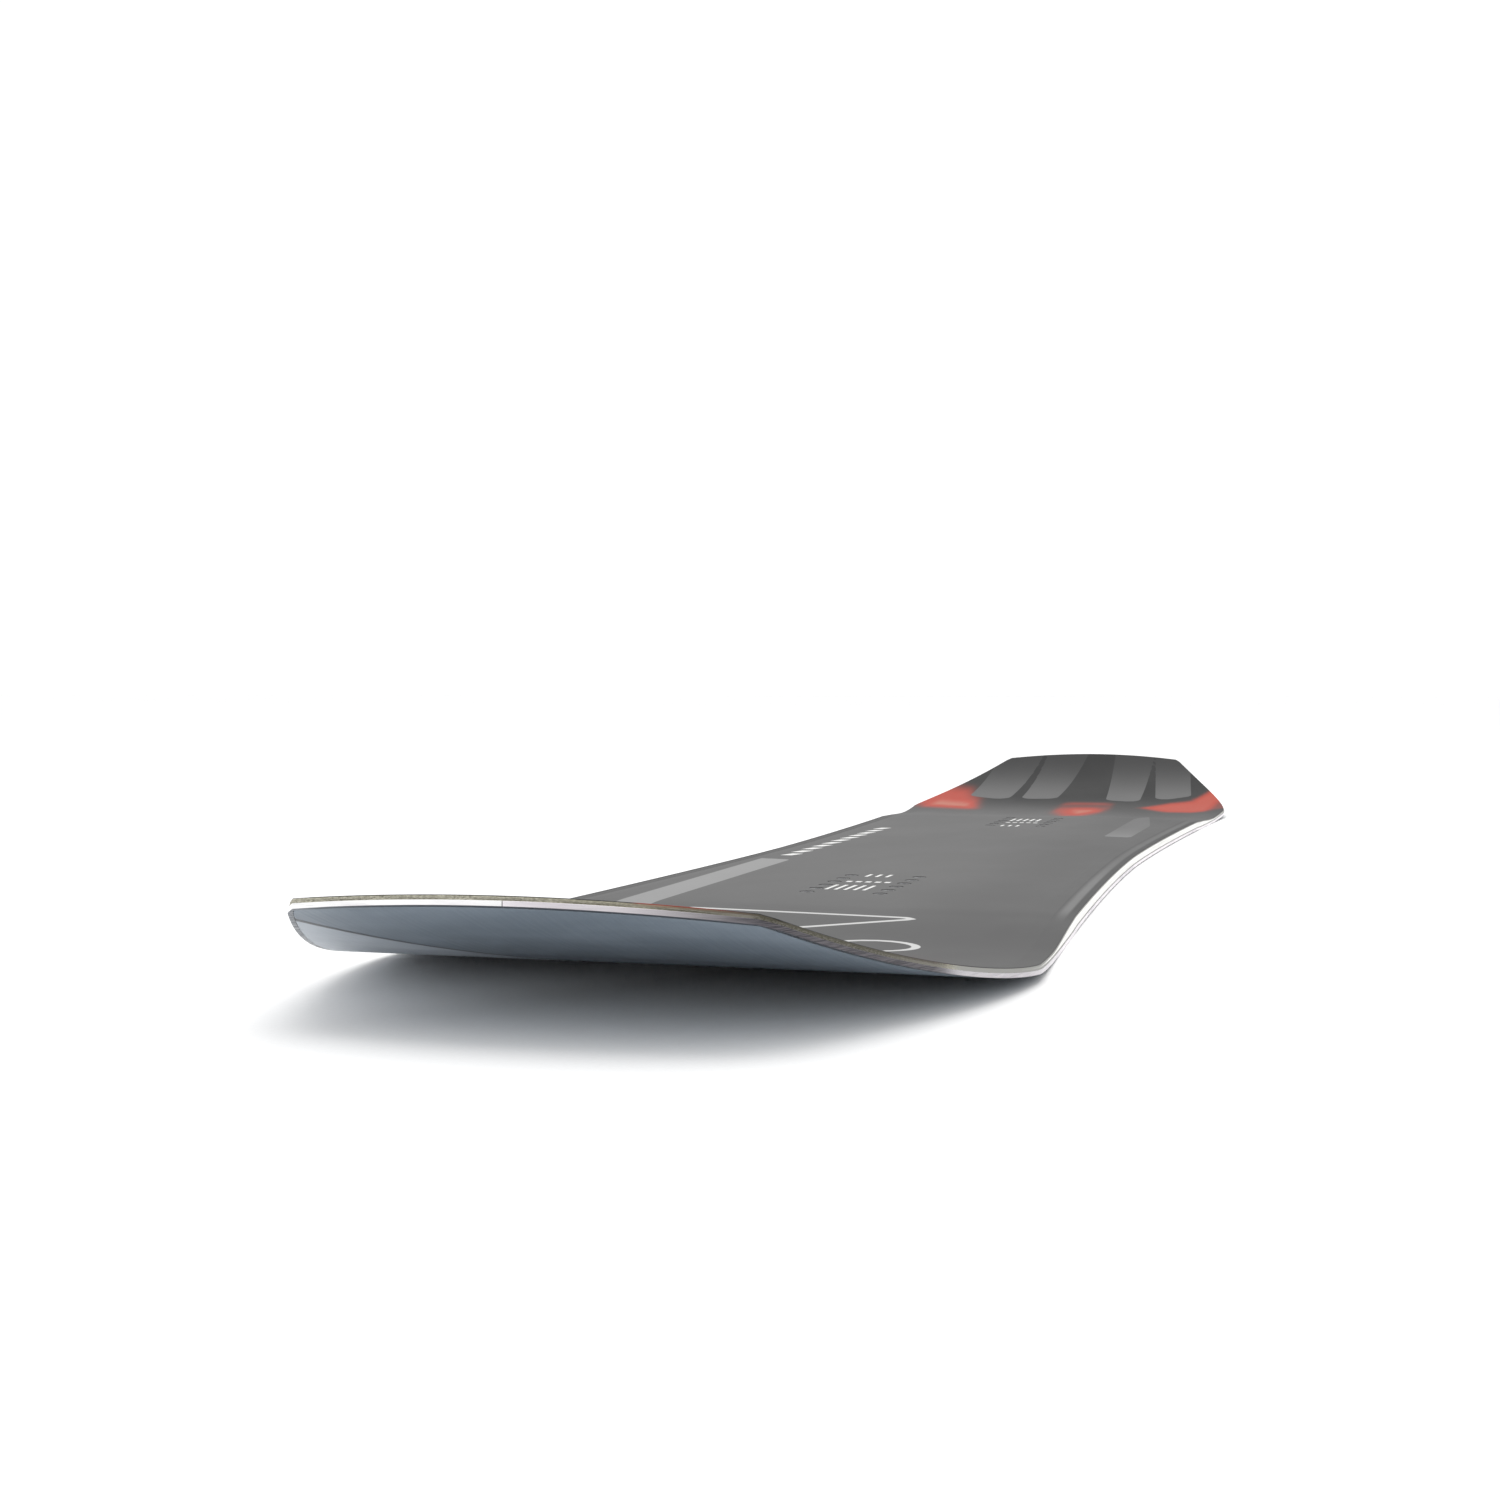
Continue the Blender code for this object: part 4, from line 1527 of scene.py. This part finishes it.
@dataclass
class SteelEdges:
    """The steel edges, each bent round its half of the rim."""

    finishes: Finishes
    form: BoardForm = field(default_factory=BoardForm)
    bevel: float = 0.12 * MM

    def build(self) -> list[bpy.types.Object]:
        """Builds both edges.

        Returns:
            The left edge and the right edge.
        """
        pieces = []
        for side, finish in ((Side.LEFT, self.finishes.steel_left), (Side.RIGHT, self.finishes.steel_right)):
            mesh = swept(f"edge_{side.word}", RimPath(self.form).sections(self.section(), side))
            pieces.append(finished(f"ground_edge_{side.word}", mesh, finish,
                                   (f"steel_edge_{side.word}",)))
        return pieces

    def section(self) -> list[Point]:
        """Corners of the bar and its flange, with the bar's outer corners bevelled.

        Returns:
            Inset and height over the base of each corner.
        """
        form = self.form
        floor = form.base_sheet + form.bond
        roof = floor + form.edge_flange
        top = form.edge_height
        return [(0.0, self.bevel), (self.bevel, 0.0), (form.edge_bar, 0.0), (form.edge_bar, floor),
                (form.edge_reach, floor), (form.edge_reach, roof), (form.edge_bar, roof),
                (form.edge_bar, top), (self.bevel, top), (0.0, top - self.bevel)]


@dataclass
class Sidewalls:
    """The plastic sidewalls between the laminates, leaning in towards the deck."""

    finishes: Finishes
    form: BoardForm = field(default_factory=BoardForm)
    pitch: float = 5 * MM
    face_steps: int = 4

    def build(self) -> list[bpy.types.Object]:
        """Builds both sidewalls.

        Returns:
            The left sidewall and the right sidewall.
        """
        pieces = []
        for side in Side:
            mesh = swept(f"wall_{side.word}", self.sections(side))
            pieces.append(finished(f"planed_sidewall_{side.word}", mesh, self.finishes.sidewall,
                                   (f"sidewall_{side.word}",)))
        return pieces

    def sections(self, side: Side) -> np.ndarray:
        """Sections of a sidewall from joint to joint.

        Args:
            side: The side of the board.

        Returns:
            Points by station and corner.
        """
        form = self.form
        reach = form.half - form.tip_joint - form.bond / 2
        y = np.linspace(-reach, reach, round(2 * reach / self.pitch))
        along = form.half - np.abs(y)
        inner = np.full_like(y, form.edge_reach)
        foot = form.wall_inset(form.core_floor, y)
        head = form.wall_inset(form.core_roof, y)
        floor = form.core_floor(y, inner)
        roof = form.core_roof(y, head)
        corners = [(inner, floor)]
        for step in range(self.face_steps + 1):
            share = step / self.face_steps
            corners.append((foot + (head - foot) * share, floor + (roof - floor) * share))
        corners.append((inner, form.core_roof(y, inner)))
        columns = []
        for inset, height in corners:
            x = side.value * form.rim_x(along, inset)
            columns.append(np.stack((x, y, form.base_z(y) + height), axis=1))
        return np.stack(columns, axis=1)


class Scatter:
    """Geometry Nodes tree that sets a template on a grid of places."""

    SIZES = ("Across", "Along", "Middle X", "Middle Y", "Height")
    COUNTS = ("Count across", "Count along")

    def __init__(self, name: str, finish: Finish) -> None:
        """Builds the tree.

        Args:
            name: Name of the tree.
            finish: Finish of the copies.
        """
        self.tree = bpy.data.node_groups.new(name, "GeometryNodeTree")
        face = self.tree.interface
        self.sockets = {label: face.new_socket(label, in_out="INPUT", socket_type="NodeSocketFloat")
                        for label in self.SIZES}
        for label in self.COUNTS:
            self.sockets[label] = face.new_socket(label, in_out="INPUT", socket_type="NodeSocketInt")
        self.sockets["Template"] = face.new_socket("Template", in_out="INPUT", socket_type="NodeSocketObject")
        face.new_socket("Geometry", in_out="OUTPUT", socket_type="NodeSocketGeometry")
        graph = Graph(self.tree)
        given = graph.add("NodeGroupInput").outputs
        grid = graph.add("GeometryNodeMeshGrid", {
            "Size X": given["Across"], "Size Y": given["Along"],
            "Vertices X": given["Count across"], "Vertices Y": given["Count along"]})
        shift = graph.add("ShaderNodeCombineXYZ", {
            "X": given["Middle X"], "Y": given["Middle Y"], "Z": given["Height"]})
        moved = graph.add("GeometryNodeTransform", {
            "Geometry": grid.outputs["Mesh"], "Translation": shift.outputs[0]})
        template = graph.add("GeometryNodeObjectInfo", {"Object": given["Template"]})
        copies = graph.add("GeometryNodeInstanceOnPoints", {
            "Points": moved.outputs[0], "Instance": template.outputs["Geometry"]})
        real = graph.add("GeometryNodeRealizeInstances", {"Geometry": copies.outputs[0]})
        painted = graph.add("GeometryNodeSetMaterial", {"Geometry": real.outputs[0],
                                                        "Material": finish.material()})
        graph.add("NodeGroupOutput", {"Geometry": painted.outputs[0]})

    def mesh(self, name: str, template: bpy.types.Mesh, values: dict[str, float | int]) -> bpy.types.Mesh:
        """Plain mesh of the copies.

        Args:
            name: Name of the mesh.
            template: Mesh of one copy.
            values: Sizes and counts by the names of the tree's inputs.

        Returns:
            All copies in one mesh.
        """
        pattern = bpy.data.objects.new("pattern", template)
        carrier = bpy.data.objects.new("carrier", bpy.data.meshes.new("carrier"))
        for made in (pattern, carrier):
            bpy.context.scene.collection.objects.link(made)
        modifier = carrier.modifiers.new("scatter", "NODES")
        modifier.node_group = self.tree
        for label, value in {**values, "Template": pattern}.items():
            modifier[self.sockets[label].identifier] = value
        graph = bpy.context.evaluated_depsgraph_get()
        mesh = bpy.data.meshes.new_from_object(carrier.evaluated_get(graph))
        carrier.modifiers.remove(modifier)
        for made in (pattern, carrier):
            bpy.data.objects.remove(made)
        mesh.name = name
        return mesh


@dataclass
class InsertPack:
    """One pack of binding inserts: two rows of six threaded steel cups in the core."""

    finishes: Finishes
    end: End
    middle: float
    form: BoardForm = field(default_factory=BoardForm)
    column: float = 40 * MM
    pitch: float = 20 * MM
    rows: int = 6
    barrel: float = 4.0 * MM
    foot: float = 8.0 * MM
    foot_height: float = 1.0 * MM
    bore: float = 2.5 * MM
    bore_floor: float = 1.2 * MM
    sink: float = 0.3 * MM
    thread: float = 1.0 * MM
    thread_depth: float = 0.45 * MM
    chamfer: float = 0.3 * MM
    sides: int = 24

    @classmethod
    def both(cls, finishes: Finishes) -> tuple[InsertPack, InsertPack]:
        """The packs at the nose's side and at the tail's side."""
        return cls(finishes, End.NOSE, -250 * MM), cls(finishes, End.TAIL, 309 * MM)

    @property
    def deck_z(self) -> float:
        """Height of the flat deck round the pack."""
        return self.form.camber + self.form.middle_thickness

    def places(self) -> list[Point]:
        """Centre of each insert.

        Returns:
            X and Y of each.
        """
        steps = [index - (self.rows - 1) / 2 for index in range(self.rows)]
        return [(side.value * self.column / 2, self.middle + step * self.pitch)
                for side in Side for step in steps]

    def build(self) -> bpy.types.Object:
        """Builds all inserts of the pack as one piece.

        Returns:
            The pack.
        """
        seat = self.form.camber + self.form.base_sheet + self.form.bond * 2 + self.form.laminate
        values = {"Across": self.column, "Along": self.pitch * (self.rows - 1), "Middle X": 0.0,
                  "Middle Y": self.middle, "Height": seat, "Count across": 2, "Count along": self.rows}
        tree = Scatter(f"{self.end.word} insert pack", self.finishes.insert)
        name = f"threaded_inserts_{self.end.word}"
        mesh = tree.mesh(name, self.template(self.deck_z - self.sink - seat), values)
        nodes = [f"insert_{self.end.word}_{side.word}_{index + 1}"
                 for side in Side for index in range(self.rows)]
        return finished(name, mesh, self.finishes.insert, nodes)

    def template(self, top: float) -> bpy.types.Mesh:
        """One insert: round foot, barrel with a chamfered mouth, and a bore with an M6 thread.

        Args:
            top: Height of its mouth over its foot.

        Returns:
            Its closed mesh, standing on Z = 0.
        """
        chamfer = self.chamfer
        outside = [(0.0, 0.0), (self.foot - chamfer, 0.0), (self.foot, chamfer),
                   (self.foot, self.foot_height), (self.barrel, self.foot_height),
                   (self.barrel, top - chamfer), (self.barrel - chamfer, top),
                   (self.bore + self.thread_depth + chamfer, top)]
        turns = int((top - self.bore_floor - self.thread) / self.thread * 2)
        bore = []
        for step in range(turns + 1):
            deep = self.thread_depth if step % 2 else 0.0
            bore.append((self.bore + deep, top - chamfer - step * self.thread / 2))
        profile = outside + bore + [(self.bore, self.bore_floor), (0.0, self.bore_floor)]
        helix = range(len(outside), len(outside) + len(bore))
        shape = bmesh.new()
        rings = []
        for index, (radius, z) in enumerate(profile):
            if radius == 0.0:
                rings.append([shape.verts.new((0.0, 0.0, z))])
                continue
            ring = []
            for corner in range(self.sides):
                share = corner / self.sides
                lead = self.thread * (share - 0.5) * 0.5 if index in helix else 0.0
                angle = 2 * math.pi * share
                ring.append(shape.verts.new((radius * math.cos(angle), radius * math.sin(angle), z - lead)))
            rings.append(ring)
        for below, above in zip(rings, rings[1:]):
            for corner in range(self.sides):
                after = (corner + 1) % self.sides
                corners = [below[corner % len(below)], below[after % len(below)],
                           above[after % len(above)], above[corner % len(above)]]
                shape.faces.new(list(dict.fromkeys(corners)))
        mesh = bpy.data.meshes.new("insert")
        shape.to_mesh(mesh)
        shape.free()
        return mesh


@dataclass(frozen=True)
class MarkRow:
    """Row of equal marks beside an insert pack, side by side across the board.

    Attributes:
        size: Width and length of one mark.
        run: Distance from the first mark to the last.
        place: Middle of the row, from the pack's middle, with Y towards the board's middle.
        count: Number of marks.
    """

    size: Point
    run: float
    place: Point
    count: int


@dataclass
class DeckMarks:
    """White printed marks: a stance scale at each pack and a row of slanted bars on the left."""

    finishes: Finishes
    form: BoardForm = field(default_factory=BoardForm)
    ink: float = 0.03 * MM
    rows: tuple[MarkRow, ...] = (
        MarkRow((1.9 * MM, 27 * MM), 21 * MM, (-3 * MM, -22 * MM), 5),
        MarkRow((3.2 * MM, 6 * MM), 22 * MM, (-1 * MM, 12 * MM), 5),
        MarkRow((1.9 * MM, 15 * MM), 12 * MM, (-4 * MM, 51 * MM), 3),
    )
    bar: Point = (7.5 * MM, 15 * MM)
    bar_slant: float = 4 * MM
    bar_column: float = -93.5 * MM
    bar_middle: float = 66 * MM
    bar_run: float = 262 * MM
    bar_count: int = 11

    def build(self) -> list[bpy.types.Object]:
        """Prints all marks.

        Returns:
            The stance marks and the bars.
        """
        tree = Scatter("printed marks", self.finishes.ink)
        height = self.form.camber + self.form.middle_thickness
        meshes = []
        for pack in InsertPack.both(self.finishes):
            toward = 1 if pack.end is End.NOSE else -1
            for row in self.rows:
                middle = (row.place[0], pack.middle + toward * row.place[1])
                meshes.append(self.marks(tree, row.size, (row.run, 0.0), middle, (row.count, 1), height))
        shape = bmesh.new()
        for mesh in meshes:
            shape.from_mesh(mesh)
        stance = bpy.data.meshes.new("stance_marks")
        shape.to_mesh(stance)
        shape.free()
        bars = self.marks(tree, self.bar, (0.0, self.bar_run), (self.bar_column, self.bar_middle),
                          (1, self.bar_count), height, self.bar_slant)
        return [finished("printed_stance_marks", stance, self.finishes.ink),
                finished("printed_bars", bars, self.finishes.ink)]

    def marks(self, tree: Scatter, size: Point, run: Point, middle: Point, count: tuple[int, int],
              height: float, slant: float = 0.0) -> bpy.types.Mesh:
        """A grid of equal marks.

        Args:
            tree: Tree that spreads them.
            size: Width and length of one mark.
            run: Distances from the first to the last mark, across and along.
            middle: Middle of the grid.
            count: Number of marks across and along.
            height: Height of the deck.
            slant: How far a mark's far end is moved in X.

        Returns:
            Mesh of the marks.
        """
        shape = bmesh.new()
        corners = [(-size[0], -size[1], -slant), (size[0], -size[1], -slant),
                   (size[0], size[1], slant), (-size[0], size[1], slant)]
        rings = [[shape.verts.new((x / 2 + lean / 2, y / 2, z)) for x, y, lean in corners]
                 for z in (-self.ink, self.ink)]
        shape.faces.new(rings[0][::-1])
        shape.faces.new(rings[1])
        for index in range(4):
            after = (index + 1) % 4
            shape.faces.new((rings[0][index], rings[0][after], rings[1][after], rings[1][index]))
        template = bpy.data.meshes.new("mark")
        shape.to_mesh(template)
        shape.free()
        values = {"Across": run[0], "Along": run[1], "Middle X": middle[0], "Middle Y": middle[1],
                  "Height": height, "Count across": count[0], "Count along": count[1]}
        return tree.mesh("marks", template, values)


@dataclass
class HiddenCore:
    """The wood strips and the rubber strips, which stay as the frame has them."""

    finishes: Finishes
    pairs: int = 5

    def dress(self, nodes: dict[str, bpy.types.Object]) -> None:
        """Gives each strip its finish.

        Args:
            nodes: The frame's objects by node name.
        """
        self.paint(nodes["core_stringer_middle"], self.finishes.poplar)
        for side in Side:
            for index in range(1, self.pairs + 1):
                bamboo = index % 2 and index < self.pairs
                finish = self.finishes.bamboo if bamboo else self.finishes.poplar
                self.paint(nodes[f"core_stringer_{side.word}_{index}"], finish)
            self.paint(nodes[f"edge_foil_{side.word}"], self.finishes.rubber)

    def paint(self, node: bpy.types.Object, finish: Finish) -> None:
        """Puts a finish on a CAD node.

        Args:
            node: The node's object.
            finish: The finish.
        """
        node.data.materials.clear()
        node.data.materials.append(finish.material())
        log.info("%s: %s", node.name, finish.name)


@dataclass(frozen=True)
class Softbox:
    """Large soft lamp.

    Attributes:
        name: Its name.
        place: Where it stands.
        aim: The point that it shines at.
        size: Its width and height.
        power: Its power in watts.
    """

    name: str
    place: tuple[float, float, float]
    aim: tuple[float, float, float]
    size: Point
    power: float

    def build(self) -> None:
        """Hangs the lamp in the studio."""
        lamp = bpy.data.lights.new(self.name, "AREA")
        lamp.shape = "RECTANGLE"
        lamp.size, lamp.size_y = self.size
        lamp.energy = self.power
        made = bpy.data.objects.new(self.name, lamp)
        made.location = self.place
        made.rotation_euler = (Vector(self.aim) - Vector(self.place)).to_track_quat("-Z", "Y").to_euler()
        bpy.context.scene.collection.objects.link(made)


@dataclass
class Studio:
    """White paper, even sky light, soft lamps, and the camera near the nose, a hand above the floor."""

    finishes: Finishes
    floor_half: float = 30.0
    sky: str = "FFFFFF"
    sky_strength: float = 1.06
    lamps: tuple[Softbox, ...] = (
        Softbox("overhead softbox", (0.0, 0.2, 2.4), (0.0, 0.0, 0.0), (2.2, 3.0), 25.0),
    )
    eye: tuple[float, float, float] = (0.26703, -1.36678, 0.11731)
    yaw: float = 0.29050
    pitch: float = -0.03000
    roll: float = 0.00056
    focal_pixels: float = 2068.65
    sensor: float = 36.0

    def build(self) -> None:
        """Builds the floor, the light and the camera."""
        self.floor()
        self.world()
        for lamp in self.lamps:
            lamp.build()
        self.camera()
        self.develop()

    def floor(self) -> None:
        """Lays the paper under the board."""
        half = self.floor_half
        mesh = bpy.data.meshes.new("paper")
        mesh.from_pydata([(-half, -half, 0), (half, -half, 0), (half, half, 0), (-half, half, 0)], [],
                         [(0, 1, 2, 3)])
        mesh.materials.append(self.finishes.paper.material())
        paper = bpy.data.objects.new("paper", mesh)
        bpy.context.scene.collection.objects.link(paper)

    def world(self) -> None:
        """Sets an even white sky."""
        world = bpy.data.worlds.new("studio")
        world.use_nodes = True
        graph = Graph(world.node_tree)
        shade = graph.add("ShaderNodeBackground", {"Color": linear(self.sky), "Strength": self.sky_strength})
        graph.add("ShaderNodeOutputWorld", {"Surface": shade.outputs[0]})
        bpy.context.scene.world = world

    def camera(self) -> None:
        """Sets the camera up at the photograph's viewpoint."""
        forward = Vector((-math.sin(self.yaw) * math.cos(self.pitch),
                          math.cos(self.yaw) * math.cos(self.pitch), math.sin(self.pitch)))
        level = forward.cross(Vector((0, 0, 1))).normalized()
        rise = level.cross(forward)
        right = level * math.cos(self.roll) + rise * math.sin(self.roll)
        up = rise * math.cos(self.roll) - level * math.sin(self.roll)
        lens = bpy.data.cameras.new("photo camera")
        lens.sensor_width = self.sensor
        lens.lens = self.sensor * self.focal_pixels / PHOTO_PIXELS
        made = bpy.data.objects.new("photo camera", lens)
        made.matrix_world = Matrix.Translation(self.eye) @ Matrix((right, up, -forward)).transposed().to_4x4()
        bpy.context.scene.collection.objects.link(made)
        bpy.context.scene.camera = made

    def develop(self) -> None:
        """Shows the light as plain sRGB, since the photograph's white and greys follow no film curve."""
        bpy.context.scene.view_settings.view_transform = "Standard"


def main() -> None:
    """Dresses the frame."""
    logging.basicConfig(level=logging.INFO, format="%(name)s: %(message)s")
    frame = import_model()
    finishes = Finishes()
    Studio(finishes).build()
    RunningBase(finishes).build()
    SteelEdges(finishes).build()
    Laminates(finishes).build()
    Sidewalls(finishes).build()
    HiddenCore(finishes).dress(frame["nodes"])
    for pack in InsertPack.both(finishes):
        pack.build()
    PrintedDeck(finishes).build()
    DeckMarks(finishes).build()


if __name__ == "__main__":
    main()
